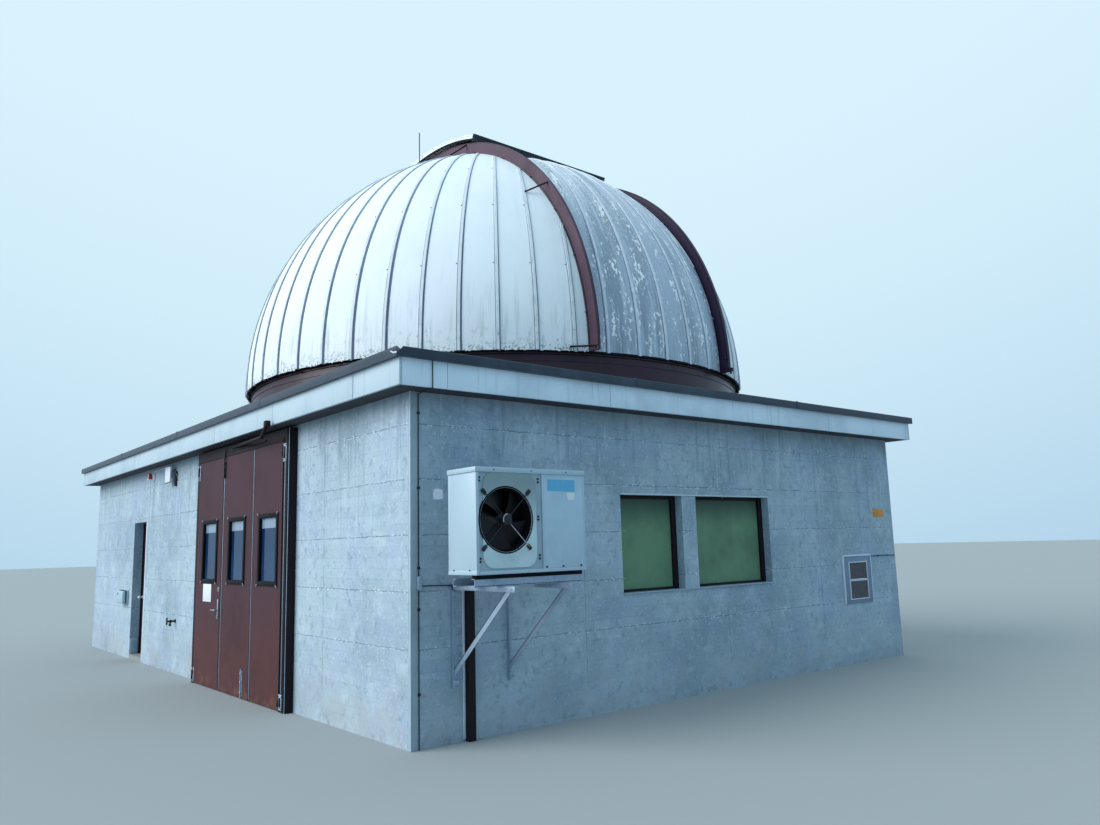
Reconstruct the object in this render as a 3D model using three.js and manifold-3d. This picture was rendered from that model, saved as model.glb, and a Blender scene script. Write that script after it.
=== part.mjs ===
// Observatory: a rectangular concrete building with a rotating slit dome on its flat roof.
// Millimetres, +Z up. The origin is on the dome's axis at ground level.
// The front wall with the doors faces -Y, and the dome's slit faces +X when the dome is at rest.
import * as THREE from 'three';
import { mergeVertices } from 'three/addons/utils/BufferGeometryUtils.js';
import Module from 'manifold-3d';

const wasm = await Module();
wasm.setup();

// Fit between a piece and the neighbour that cuts or carries it.
const FIT = 0.3;

// Building
const LEFT_X = -7930;
const RIGHT_X = 4300;
const HALF_DEPTH = 4090;
const WALL = 250;
const FLOOR_TOP = 70;
const SOFFIT_Z = 3130;

// Roof and its edge
const OVERHANG = 254;
const FASCIA_T = 30;
const FASCIA_TOP = 3397;
const ROOF_TOP = 3340;
const KERB_W = 170;
const COPING_TOP = 3465;
const COPING_LIP = 45;
const COPING_DROP = 25;
const COPING_W = 290;
const CORNER_GAP = 28;

// Folding main door, planted on the front wall
const DOOR_PROUD = 97;
const DOOR_OPENING = [-1330, 1620];
const DOOR_OPENING_TOP = 2950;
const DOOR_FRAME_X = [-1412, 1800];
const DOOR_FRAME_TOP = 3100;
const LEAF_X = [-1350, -320, 720, 1632];
const LEAF_Z = [15, 2958];
const LEAF_T = 50;
const LEAF_GAP = 8;
const LEAF_WINDOWS = [[-1090, -515], [-80, 490], [947, 1518]];
const LEAF_WINDOW_Z = [1345, 2148];
const GLASS_T = 8;

// Butt hinges: the pin stands off the doors' faces, and the knuckles meet end to end
const HINGE_R = 10;
const HINGE_H = 60;
const HINGE_OFF = 12;
const HINGE_STRAP = 34;
const HINGE_Z = [114, 2840];
const SIDE_HINGE_Z = [350, 1950];

// Small side door, set back in the front wall
const SIDE_DOOR_X = [-5127, -4360];
const SIDE_DOOR_TOP = 2272;
const SIDE_FRAME_W = 32;
const SIDE_FRAME_Y = [-3950, -3895];
const SIDE_LEAF_T = 40;
const KNOB_Z = 1010;

// Window recess in the right wall
const WINDOW_Y = [-1500, 1100];
const WINDOW_Z = [1170, 2235];
const PILLAR_Y = [-520, -280];
const PANEL_SETBACK = 130;
const PANEL_T = 30;

// Outdoor unit on its wall bracket
const UNIT_X = [4675, 5098];
const UNIT_Y = [-3930, -2730];
const UNIT_Z = [1450, 2380];
const FAN_Y = -3620;
const FAN_Z = 1936;
const FAN_WELL_R = 274;
const FAN_WELL_DEPTH = 210;
const FAN_R = 256;
const HUB_R = 58;
const FAN_BEHIND = 90;
const GUARD_T = 14;
const GUARD_HOOPS = [[288, 268], [152, 145], [90, 40]];
const GUARD_BARS = [60, 330];
const GUARD_TABS = [305, 358];
const BRACKET_Y = [-3650, -3025];
const ARM_Z = 1360;
const ARM_END = 5268;
const BRACKET_FOOT = 470;
const ANGLE_BAR = 50;
const RAIL_X = [4745, 5025];

// Fittings on the walls
const DUCT_Y = [-3530, -3455];
const DUCT_T = 62;
const DUCT_TOP = 1325;
const VENT_Y = [2720, 3430];
const VENT_Z = [800, 1456];
const VENT_T = 25;
const LAMP_X = [-3070, -2910];
const LAMP_Z = [2820, 3060];
const LAMP_T = 90;
const LETTER_BOX_X = [-5700, -5410];
const LETTER_BOX_Z = [910, 1100];
const LETTER_BOX_T = 140;

// Dome
const DOME_R = 3820;
const DOME_Z = 4030;
const SKIRT = 45;
const GORES = 52;
const POLE_STOP = 80;
const ARC_STEPS = 10;
const SHELL_IN = 3750;
const SHUTTER_R = [3762, 3778];
const REAR_OUT = 3745;
const REAR_IN = 3705;

// Slit: two arches with rails, the front shutter between them and the upper shutter above them
const ARCH_Y = [1200, 1250];
const ARCH_R = [3500, 3770];
const RAIL_Y = 1150;
const RAIL_R = 3710;
const SHUTTER_HALF = 1190;
const SHUTTER_TOP = 75;
const WHEEL_R = 18;
const WHEEL_W = 40;
const WHEEL_ORBIT = 3585;
const WHEEL_ANGLES = [12, 42, 70];
const BEAM_CLEAR = 22;
const REAR_START = 105;
const HOOD_SPAN = [70, 112];
const HOOD_R = [3850, 3870];
const HOOD_HALF = 1300;
const HOOD_SKIRT_R = 3790;
const BEAM_TOP_R = 3885;

// Lightning rod, standing in a foot on the dome's left shell
const ROD_X = -140;
const ROD_Y = -1345;
const ROD_R = 8;
const ROD_L = 640;
const ROD_MIDDLE = 3930;

// Fixed curb under the dome, its roller track and the dome's base ring
const DRUM_R = [3580, 3730];
const DRUM_TOP = 3900;
const TRACK_R = [3610, 3700];
const TRACK_TOP = 3925;
const RING_R = [3600, 3749.7];
const RING_Z = 3955;
const ROLLERS = 16;
const ROLLER_R = 25;

const finishes = {
  concrete: { color: 0xaeb9bd, roughness: 0.92, metalness: 0 },
  floor: { color: 0x9a9c98, roughness: 0.9, metalness: 0 },
  fascia: { color: 0xb9c6cb, roughness: 0.8, metalness: 0 },
  coping: { color: 0x35424e, roughness: 0.5, metalness: 0.7 },
  door: { color: 0x5f474b, roughness: 0.5, metalness: 0.3 },
  glass: { color: 0x3f5a6e, roughness: 0.1, metalness: 0 },
  green: { color: 0x6f8660, roughness: 0.7, metalness: 0 },
  enamel: { color: 0xa9bcc4, roughness: 0.45, metalness: 0.1 },
  black: { color: 0x22262a, roughness: 0.6, metalness: 0 },
  galvanised: { color: 0x8d979e, roughness: 0.5, metalness: 0.8 },
  white: { color: 0xcfdbe6, roughness: 0.5, metalness: 0.1 },
  grey: { color: 0x8593a1, roughness: 0.55, metalness: 0.4 },
  maroon: { color: 0x6d5060, roughness: 0.5, metalness: 0.2 },
  plastic: { color: 0xdadfe0, roughness: 0.5, metalness: 0 },
};

const observatory = new THREE.Group();
observatory.name = 'observatory';

function add(name, geometry, finish) {
  const mesh = new THREE.Mesh(geometry, new THREE.MeshStandardMaterial(finishes[finish]));
  mesh.name = name;
  observatory.add(mesh);
  return mesh;
}

// A box between two corners, given as ranges along each axis.
function box([x0, x1], [y0, y1], [z0, z1]) {
  const geometry = new THREE.BoxGeometry(x1 - x0, y1 - y0, z1 - z0);
  return geometry.translate((x0 + x1) / 2, (y0 + y1) / 2, (z0 + z1) / 2);
}

function toSolid(geometry) {
  const bare = geometry.clone();
  bare.deleteAttribute('normal');
  bare.deleteAttribute('uv');
  const merged = mergeVertices(bare, 1e-3);
  return new wasm.Manifold(new wasm.Mesh({
    numProp: 3,
    vertProperties: new Float32Array(merged.attributes.position.array),
    triVerts: new Uint32Array(merged.index.array),
  }));
}

function toGeometry(solid) {
  const mesh = solid.getMesh();
  const geometry = new THREE.BufferGeometry();
  geometry.setAttribute('position', new THREE.BufferAttribute(mesh.vertProperties, 3));
  geometry.setIndex(new THREE.BufferAttribute(mesh.triVerts, 1));
  geometry.computeVertexNormals();
  return geometry;
}

function join(...geometries) {
  return toGeometry(geometries.map(toSolid).reduce((whole, piece) => whole.add(piece)));
}

function cut(geometry, ...tools) {
  return toGeometry(tools.map(toSolid).reduce((whole, tool) => whole.subtract(tool), toSolid(geometry)));
}

function common(geometry, ...others) {
  return toGeometry(others.map(toSolid).reduce((whole, other) => whole.intersect(other), toSolid(geometry)));
}

const radians = (degrees) => THREE.MathUtils.degToRad(degrees);

// Points along a circle from one angle to another, both in degrees.
function arcPoints(radius, from, to, steps) {
  return Array.from({ length: steps + 1 }, (unused, i) => {
    const angle = radians(from + ((to - from) * i) / steps);
    return new THREE.Vector2(radius * Math.cos(angle), radius * Math.sin(angle));
  });
}

// A flat outline drawn in X and Z, given its thickness along Y.
function plateXZ(shape, [y0, y1]) {
  const geometry = new THREE.ExtrudeGeometry(shape, { depth: y1 - y0, bevelEnabled: false });
  return geometry.rotateX(Math.PI / 2).translate(0, y1, 0);
}

// A flat outline drawn in Y and Z, given its thickness along X.
function plateYZ(shape, [x0, x1]) {
  const geometry = new THREE.ExtrudeGeometry(shape, { depth: x1 - x0, bevelEnabled: false });
  const upright = new THREE.Matrix4().makeBasis(
    new THREE.Vector3(0, 1, 0), new THREE.Vector3(0, 0, 1), new THREE.Vector3(1, 0, 0));
  return geometry.applyMatrix4(upright).translate(x0, 0, 0);
}

// Part of a ring standing in the XZ plane round the dome's centre, with angles from +X upward.
function archBand([r0, r1], yRange, [from, to], stepDegrees) {
  const steps = Math.ceil((to - from) / stepDegrees);
  const outline = [...arcPoints(r1, from, to, steps), ...arcPoints(r0, to, from, steps)];
  return plateXZ(new THREE.Shape(outline), yRange).translate(0, 0, DOME_Z);
}

// A level ring round the dome's axis, with one flat side for each gore.
function levelRing([r0, r1], [z0, z1]) {
  const profile = [[r0, z0], [r1, z0], [r1, z1], [r0, z1], [r0, z0]];
  const lathe = new THREE.LatheGeometry(profile.map(([r, z]) => new THREE.Vector2(r, z)), GORES);
  return lathe.rotateX(Math.PI / 2);
}

// The dome's skin as a thick shell, open at the pole, where the slit passes.
function domeShell(outer, inner) {
  const profile = [
    new THREE.Vector2(inner, -SKIRT),
    new THREE.Vector2(outer, -SKIRT),
    ...arcPoints(outer, 0, POLE_STOP, ARC_STEPS),
    ...arcPoints(inner, POLE_STOP, 0, ARC_STEPS),
    new THREE.Vector2(inner, -SKIRT),
  ];
  const lathe = new THREE.LatheGeometry(profile, GORES);
  return lathe.rotateX(Math.PI / 2).translate(0, 0, DOME_Z);
}

// A wedge round the horizontal axis through the dome's centre, used to trim shells to an angle.
function wedge([from, to], halfWidth, reach) {
  const outline = [new THREE.Vector2(0, 0), ...arcPoints(reach, from, to, 6)];
  return plateXZ(new THREE.Shape(outline), [-halfWidth, halfWidth]).translate(0, 0, DOME_Z);
}

function buildWalls() {
  const frontY = [-HALF_DEPTH, -HALF_DEPTH + WALL];
  const full = [0, SOFFIT_Z];
  add('front_wall_left', box([LEFT_X, SIDE_DOOR_X[0]], frontY, full), 'concrete');
  add('front_wall_middle', box([SIDE_DOOR_X[1], DOOR_OPENING[0]], frontY, full), 'concrete');
  add('front_wall_right', box([DOOR_OPENING[1], RIGHT_X], frontY, full), 'concrete');
  add('side_door_lintel', box(SIDE_DOOR_X, frontY, [SIDE_DOOR_TOP, SOFFIT_Z]), 'concrete');
  add('main_door_lintel', box(DOOR_OPENING, frontY, [DOOR_OPENING_TOP, SOFFIT_Z]), 'concrete');

  const rightX = [RIGHT_X - WALL, RIGHT_X];
  const insideY = HALF_DEPTH - WALL;
  add('right_wall_near', box(rightX, [-insideY, WINDOW_Y[0]], full), 'concrete');
  add('right_wall_far', box(rightX, [WINDOW_Y[1], insideY], full), 'concrete');
  add('right_wall_sill', box(rightX, WINDOW_Y, [0, WINDOW_Z[0]]), 'concrete');
  add('right_wall_lintel', box(rightX, WINDOW_Y, [WINDOW_Z[1], SOFFIT_Z]), 'concrete');
  add('window_pillar', box(rightX, PILLAR_Y, WINDOW_Z), 'concrete');
  add('back_wall', box([LEFT_X, RIGHT_X], [insideY, HALF_DEPTH], full), 'concrete');
  add('left_wall', box([LEFT_X, LEFT_X + WALL], [-insideY, insideY], full), 'concrete');

  const room = box([LEFT_X + WALL, RIGHT_X - WALL], [-insideY, insideY], [0, FLOOR_TOP]);
  const reach = [-HALF_DEPTH, -insideY + WALL];
  const sills = [SIDE_DOOR_X, DOOR_OPENING].map((x) => box(x, reach, [0, FLOOR_TOP]));
  const floor = join(room, ...sills);
  add('floor_slab', floor, 'floor');
}

function buildWindowPanels() {
  const face = RIGHT_X - PANEL_SETBACK;
  const panelX = [face - PANEL_T, face];
  add('window_panel_near', box(panelX, [WINDOW_Y[0], PILLAR_Y[0]], WINDOW_Z), 'green');
  add('window_panel_far', box(panelX, [PILLAR_Y[1], WINDOW_Y[1]], WINDOW_Z), 'green');
}

function buildRoof() {
  const edge = OVERHANG - FASCIA_T;
  const slabX = [LEFT_X - edge, RIGHT_X + edge];
  const slabY = [-HALF_DEPTH - edge, HALF_DEPTH + edge];
  const inset = ([low, high], by) => [low + by, high - by];
  const deck = box(slabX, slabY, [SOFFIT_Z, FASCIA_TOP]);
  const well = box(inset(slabX, KERB_W), inset(slabY, KERB_W), [ROOF_TOP, FASCIA_TOP + 100]);
  const hole = levelRing([1, DRUM_R[0]], [SOFFIT_Z - 100, ROOF_TOP + 100]);
  const plug = box([-10, 10], [-10, 10], [SOFFIT_Z - 100, ROOF_TOP + 100]);
  add('roof_slab', cut(deck, well, join(hole, plug)), 'concrete');

  const outX = [LEFT_X - OVERHANG, RIGHT_X + OVERHANG];
  const outY = [-HALF_DEPTH - OVERHANG, HALF_DEPTH + OVERHANG];
  const fasciaZ = [SOFFIT_Z, FASCIA_TOP];
  add('fascia_front', box(outX, [outY[0], slabY[0]], fasciaZ), 'fascia');
  add('fascia_back', box(outX, [slabY[1], outY[1]], fasciaZ), 'fascia');
  add('fascia_left', box([outX[0], slabX[0]], slabY, fasciaZ), 'fascia');
  add('fascia_right', box([slabX[1], outX[1]], slabY, fasciaZ), 'fascia');
  buildCoping(outX, outY);
}

// Metal capping over the kerb: an L that turns down outside the fascia. At the corner nearest the
// outdoor unit the front length has slipped and leaves its joint open.
function buildCoping(outX, outY) {
  const tipX = [outX[0] - COPING_LIP, outX[1] + COPING_LIP];
  const tipY = [outY[0] - COPING_LIP, outY[1] + COPING_LIP];
  const top = [FASCIA_TOP, COPING_TOP];
  const lip = [FASCIA_TOP - COPING_DROP, COPING_TOP];
  const innerY = [tipY[0] + COPING_W, tipY[1] - COPING_W];
  const frontX = [tipX[0], tipX[1] - COPING_W - CORNER_GAP];

  const frontTop = box(frontX, [tipY[0], innerY[0]], top);
  const frontLip = box(frontX, [tipY[0], outY[0] - FIT], lip);
  add('coping_front', join(frontTop, frontLip), 'coping');
  const backX = [tipX[0], tipX[1] - COPING_W];
  const backTop = box(backX, [innerY[1], tipY[1]], top);
  const backLip = box(backX, [outY[1] + FIT, tipY[1]], lip);
  add('coping_back', join(backTop, backLip), 'coping');
  const leftTop = box([tipX[0], tipX[0] + COPING_W], innerY, top);
  const leftLip = box([tipX[0], outX[0] - FIT], innerY, lip);
  add('coping_left', join(leftTop, leftLip), 'coping');
  const rightTop = box([tipX[1] - COPING_W, tipX[1]], tipY, top);
  const rightLip = box([outX[1] + FIT, tipX[1]], tipY, lip);
  add('coping_right', join(rightTop, rightLip), 'coping');
}

// One half of a hinge: a knuckle on the pin and a strap that laps onto the door or the frame.
// toX and toY say on which side of the pin the carrying face lies; up is 1 for the upper half.
function hingeHalf(x, y, z, toX, toY, up) {
  const middle = up > 0 ? z + HINGE_H / 2 : z - FIT - HINGE_H / 2;
  const knuckle = new THREE.CylinderGeometry(HINGE_R, HINGE_R, HINGE_H, 12).rotateX(Math.PI / 2);
  knuckle.translate(x, y, middle);
  const strapX = [x + toX * 2, x + toX * HINGE_STRAP].sort((a, b) => a - b);
  const strapY = [y + toY * (HINGE_OFF - 6), y + toY * (HINGE_OFF + 1)].sort((a, b) => a - b);
  return [knuckle, box(strapX, strapY, [middle - HINGE_H / 2, middle + HINGE_H / 2])];
}

// The main door is a single leaf on the left and a folding pair on the right, in one steel frame.
function buildMainDoor() {
  const face = -HALF_DEPTH - DOOR_PROUD;
  const frameY = [face, -HALF_DEPTH];
  const frame = box(DOOR_FRAME_X, frameY, [0, DOOR_FRAME_TOP]);
  const clear = [LEAF_X[0], LEAF_X[3]];
  const passage = box(clear, [face - 10, -HALF_DEPTH + 10], [-10, LEAF_Z[1] + 6]);
  const pinY = face - HINGE_OFF;
  const backY = face + LEAF_T + HINGE_OFF;
  const pinX = [LEAF_X[0] + 3, LEAF_X[3]];
  const frameHinges = HINGE_Z.flatMap((z) => [
    ...hingeHalf(pinX[0], pinY, z, -1, 1, -1), ...hingeHalf(pinX[1], pinY, z, 1, 1, -1)]);
  add('main_door_frame', join(cut(frame, passage), ...frameHinges), 'door');

  const leafHinges = [
    HINGE_Z.flatMap((z) => hingeHalf(pinX[0], pinY, z, 1, 1, 1)),
    HINGE_Z.flatMap((z) => hingeHalf(LEAF_X[2], backY, z, -1, -1, 1)),
    HINGE_Z.flatMap((z) => [
      ...hingeHalf(LEAF_X[2], backY, z, 1, -1, -1), ...hingeHalf(pinX[1], pinY, z, -1, 1, 1)]),
  ];
  const names = ['left', 'middle', 'right'];
  const leafY = [face, face + LEAF_T];
  const glassY = [face + (LEAF_T - GLASS_T) / 2, face + (LEAF_T + GLASS_T) / 2];
  names.forEach((name, i) => {
    const leafX = [LEAF_X[i] + LEAF_GAP / 2, LEAF_X[i + 1] - LEAF_GAP / 2];
    if (i === 0) {
      leafX[0] = LEAF_X[0] + 6;
    }
    if (i === 2) {
      leafX[1] = LEAF_X[3] - FIT;
    }
    const window = box(LEAF_WINDOWS[i], [face - 10, face + LEAF_T + 10], LEAF_WINDOW_Z);
    const leaf = cut(box(leafX, leafY, LEAF_Z), window);
    add(`main_door_leaf_${name}`, join(leaf, ...leafHinges[i]), 'door');
    add(`main_door_glass_${name}`, box(LEAF_WINDOWS[i], glassY, LEAF_WINDOW_Z), 'glass');
  });
}

function buildSideDoor() {
  const [left, right] = SIDE_DOOR_X;
  const inner = [left + SIDE_FRAME_W, right - SIDE_FRAME_W];
  const headZ = SIDE_DOOR_TOP - SIDE_FRAME_W;
  const body = box([left, right], SIDE_FRAME_Y, [FLOOR_TOP, SIDE_DOOR_TOP]);
  const passage = box(inner, [SIDE_FRAME_Y[0] - 10, SIDE_FRAME_Y[1] + 10], [FLOOR_TOP - 10, headZ]);
  const pin = [inner[1] - 3, SIDE_FRAME_Y[1] + HINGE_OFF];
  const frameHinges = SIDE_HINGE_Z.flatMap((z) => hingeHalf(...pin, z, 1, -1, -1));
  add('side_door_frame', join(cut(body, passage), ...frameHinges), 'door');

  const leafX = [inner[0] + LEAF_GAP, inner[1] - 6];
  const leafY = [SIDE_FRAME_Y[1] - SIDE_LEAF_T, SIDE_FRAME_Y[1]];
  const leaf = box(leafX, leafY, [FLOOR_TOP + 12, headZ - 6]);
  const spindle = new THREE.CylinderGeometry(10, 10, 70, 12).translate(leafX[0] + 55, leafY[0] - 30, KNOB_Z);
  const ball = new THREE.SphereGeometry(27, 14, 10).translate(leafX[0] + 55, leafY[0] - 52, KNOB_Z);
  const leafHinges = SIDE_HINGE_Z.flatMap((z) => hingeHalf(...pin, z, -1, -1, 1));
  add('side_door_leaf', join(leaf, spindle, ball, ...leafHinges), 'door');
}

function ringShape(outer, inner, segments) {
  const shape = new THREE.Shape(arcPoints(outer, 0, 360, segments).slice(0, -1));
  shape.holes.push(new THREE.Path(arcPoints(inner, 0, 360, segments).slice(0, -1).reverse()));
  return shape;
}

// The unit blows towards +X through a round well with a wire guard over it.
function buildOutdoorUnit() {
  const front = UNIT_X[1];
  const wellX = [front - FAN_WELL_DEPTH, front + 10];
  const wellShape = new THREE.Shape(arcPoints(FAN_WELL_R, 0, 360, 32).slice(0, -1));
  const well = plateYZ(wellShape, wellX).translate(0, FAN_Y, FAN_Z);
  add('unit_casing', cut(box(UNIT_X, UNIT_Y, UNIT_Z), well), 'enamel');

  const guardX = [front, front + GUARD_T];
  const hoops = GUARD_HOOPS.map(([outer, inner]) => plateYZ(ringShape(outer, inner, 24), guardX));
  const bars = Array.from({ length: 4 }, (unused, i) => {
    const bar = box([front + 3, front + GUARD_T - 3], GUARD_BARS, [-5, 5]);
    const tab = box(guardX, GUARD_TABS, [-16, 16]);
    return join(bar, tab).rotateX(((2 * i + 1) * Math.PI) / 4);
  });
  add('fan_guard', join(...hoops, ...bars).translate(0, FAN_Y, FAN_Z), 'black');

  const hubX = [front - FAN_BEHIND - 30, front - FAN_BEHIND + 30];
  const disc = new THREE.Shape(arcPoints(HUB_R, 0, 360, 20).slice(0, -1));
  const pin = new THREE.Shape(arcPoints(14, 0, 360, 12).slice(0, -1));
  const hub = plateYZ(disc, hubX);
  const shaft = plateYZ(pin, [wellX[0] + FIT, hubX[0] + 5]);
  const blades = Array.from({ length: 3 }, (unused, i) => {
    const outline = [new THREE.Vector2(40, -30), ...arcPoints(FAN_R, -22, 30, 6), new THREE.Vector2(40, 35)];
    const blade = plateYZ(new THREE.Shape(outline), [-4, 4]).rotateY(radians(-14));
    return blade.rotateX(radians(120 * i)).translate(front - FAN_BEHIND, 0, 0);
  });
  add('fan_rotor', join(hub, shaft, ...blades).translate(0, FAN_Y, FAN_Z), 'black');
}

// Wall legs, arms and struts of angle steel, with two rails across the arms under the unit.
function buildUnitBracket() {
  const half = ANGLE_BAR / 2;
  const pieces = BRACKET_Y.flatMap((y) => {
    const yRange = [y - half, y + half];
    const leg = box([RIGHT_X, RIGHT_X + 40], yRange, [BRACKET_FOOT, ARM_Z + half]);
    const arm = box([RIGHT_X, ARM_END], yRange, [ARM_Z - half, ARM_Z + half]);
    const strut = new THREE.Shape([
      new THREE.Vector2(RIGHT_X + 5, 600), new THREE.Vector2(RIGHT_X + 35, 580),
      new THREE.Vector2(ARM_END - 60, ARM_Z), new THREE.Vector2(ARM_END - 110, ARM_Z)]);
    return [leg, arm, plateXZ(strut, yRange)];
  });
  const railZ = [ARM_Z + half - 2, UNIT_Z[0]];
  const rails = RAIL_X.map((x) => box([x - half, x + half], [UNIT_Y[0] + 10, UNIT_Y[1] - 10], railZ));
  add('unit_bracket', join(...pieces, ...rails), 'galvanised');
}

function buildWallFittings() {
  const face = -HALF_DEPTH;
  add('duct_cover', box([RIGHT_X, RIGHT_X + DUCT_T], DUCT_Y, [0, DUCT_TOP]), 'maroon');
  add('vent_cabinet', box([RIGHT_X, RIGHT_X + VENT_T], VENT_Y, VENT_Z), 'enamel');
  add('door_lamp', box(LAMP_X, [face - LAMP_T, face], LAMP_Z), 'plastic');
  add('letter_box', box(LETTER_BOX_X, [face - LETTER_BOX_T, face], LETTER_BOX_Z), 'enamel');
}

// The curb is fixed on the roof. The dome's base ring runs on the rollers of the track above it.
function buildCurb() {
  add('drum', levelRing(DRUM_R, [ROOF_TOP, DRUM_TOP]), 'maroon');
  const middle = (TRACK_R[0] + TRACK_R[1]) / 2;
  const rollers = Array.from({ length: ROLLERS }, (unused, i) => {
    const roller = new THREE.CylinderGeometry(ROLLER_R, ROLLER_R, 60, 12);
    roller.rotateZ(Math.PI / 2).translate(middle, 0, RING_Z - FIT - ROLLER_R);
    return roller.rotateZ((2 * Math.PI * i) / ROLLERS);
  });
  add('roller_track', join(levelRing(TRACK_R, [DRUM_TOP, TRACK_TOP]), ...rollers), 'galvanised');
  add('dome_base_ring', levelRing(RING_R, [RING_Z, DOME_Z]), 'black');
}

function buildDomeShells() {
  const skin = domeShell(DOME_R, SHELL_IN);
  const far = DOME_R + 100;
  const sideY = ARCH_Y[1] + FIT;
  const z = [DOME_Z - far, DOME_Z + far];
  [['front', [0, far]], ['back', [-far, 0]]].forEach(([name, x]) => {
    add(`dome_shell_left_${name}`, common(skin, box(x, [-far, -sideY], z)), 'white');
    add(`dome_shell_right_${name}`, common(skin, box(x, [sideY, far], z)), 'white');
  });

  const rearZone = wedge([REAR_START, 180], ARCH_Y[0] - FIT, DOME_R * 1.2);
  add('dome_shell_rear', common(domeShell(REAR_OUT, REAR_IN), rearZone), 'white');
}

function buildArch(name, side) {
  const order = ([a, b]) => (side > 0 ? [a, b] : [-b, -a]);
  const web = archBand(ARCH_R, order(ARCH_Y), [0, 180], 3.6);
  const rail = archBand([RAIL_R, ARCH_R[1]], order([RAIL_Y, ARCH_Y[0] + 5]), [2, 178], 3.52);
  const footZ = [DOME_Z - SKIRT, DOME_Z + 5];
  const feet = [[3560, ARCH_R[1]], [-ARCH_R[1], -3560]].map((x) => box(x, order(ARCH_Y), footZ));
  add(name, join(web, rail, ...feet), 'maroon');
}

function buildFrontShutter() {
  const zone = wedge([-4, SHUTTER_TOP], SHUTTER_HALF, DOME_R * 1.2);
  const panel = common(domeShell(SHUTTER_R[1], SHUTTER_R[0]), zone);
  const wheels = WHEEL_ANGLES.flatMap((angle) => [-1, 1].map((side) => {
    const wheel = new THREE.CylinderGeometry(WHEEL_R, WHEEL_R, WHEEL_W, 12);
    const x = WHEEL_ORBIT * Math.cos(radians(angle));
    const y = side * (ARCH_Y[0] - FIT - WHEEL_W / 2);
    return wheel.translate(x, y, DOME_Z + WHEEL_ORBIT * Math.sin(radians(angle)));
  }));
  add('front_shutter', join(panel, ...wheels), 'grey');
}

// The upper shutter is a sheet curved one way only, with skirts outside the arches, guide ribs
// inside the rails and a straight front beam whose lower edge clears the front shutter.
function buildUpperShutter() {
  const sheet = archBand(HOOD_R, [-HOOD_HALF, HOOD_HALF], HOOD_SPAN, 3);
  const skirtR = [HOOD_SKIRT_R, HOOD_R[0] + 5];
  const ribR = [RAIL_R + 10, HOOD_R[0] + 5];
  const sides = [-1, 1].flatMap((side) => {
    const order = ([a, b]) => (side > 0 ? [a, b] : [-b, -a]);
    const skirt = archBand(skirtR, order([HOOD_HALF - 20, HOOD_HALF]), HOOD_SPAN, 3);
    const rib = archBand(ribR, order([RAIL_Y - 40, RAIL_Y - FIT]), HOOD_SPAN, 3);
    return [skirt, rib];
  });
  const clear = SHUTTER_R[1] + BEAM_CLEAR;
  const bottom = ARCH_R[1] + 10;
  const reach = Math.sqrt(clear * clear - bottom * bottom);
  const rise = THREE.MathUtils.radToDeg(Math.asin(reach / clear));
  const outline = new THREE.Shape([
    new THREE.Vector2(-HOOD_HALF, BEAM_TOP_R), new THREE.Vector2(-HOOD_HALF, bottom),
    ...arcPoints(clear, 90 + rise, 90 - rise, 10),
    new THREE.Vector2(HOOD_HALF, bottom), new THREE.Vector2(HOOD_HALF, BEAM_TOP_R)]);
  const beam = new THREE.ExtrudeGeometry(outline, { depth: 30, bevelEnabled: false });
  const angle = radians(HOOD_SPAN[0]);
  const place = new THREE.Matrix4().makeBasis(
    new THREE.Vector3(0, 1, 0),
    new THREE.Vector3(Math.cos(angle), 0, Math.sin(angle)),
    new THREE.Vector3(Math.sin(angle), 0, -Math.cos(angle)));
  beam.translate(0, 0, -25).applyMatrix4(place).translate(0, 0, DOME_Z);
  add('upper_shutter', join(sheet, ...sides, beam), 'white');
}

function buildLightningRod() {
  const rod = new THREE.CylinderGeometry(ROD_R, ROD_R, ROD_L, 10).rotateX(Math.PI / 2);
  rod.translate(ROD_X, ROD_Y, DOME_Z + ROD_MIDDLE);
  const foot = new THREE.CylinderGeometry(30, 30, 60, 12).rotateX(Math.PI / 2);
  foot.translate(ROD_X, ROD_Y, DOME_Z + ROD_MIDDLE - ROD_L / 2 - 5);
  const near = box([ROD_X - 260, ROD_X + 340], [ROD_Y - 355, ROD_Y + 345], [DOME_Z, DOME_Z + 4000]);
  const skin = common(domeShell(DOME_R + FIT, SHELL_IN), near);
  add('lightning_rod', cut(join(rod, foot), skin), 'galvanised');
}

buildWalls();
buildWindowPanels();
buildRoof();
buildMainDoor();
buildSideDoor();
buildOutdoorUnit();
buildUnitBracket();
buildWallFittings();
buildCurb();
buildDomeShells();
buildArch('arch_left', -1);
buildArch('arch_right', 1);
buildFrontShutter();
buildUpperShutter();
buildLightningRod();

export default observatory;
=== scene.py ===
"""Observatory building with a rotating slit dome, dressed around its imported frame.

Each sub-assembly is a class: the concrete shell, the roof edge, the entrance, the side door, the
outdoor unit, the wall fittings, the dome's fixed skin and the parts of its slit. Sizes are metres
in the shared frame: the origin is on the dome's axis at ground level, and -Y is the entrance side.
"""

import logging
import random
from dataclasses import dataclass
from enum import Enum
from functools import partial
from math import (
    acos, asin, atan, atan2, ceil, copysign, cos, degrees, dist, hypot, pi, radians, sin, sqrt, tan)
from typing import Sequence

import bmesh
import bpy
from mathutils import Matrix, Vector


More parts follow.
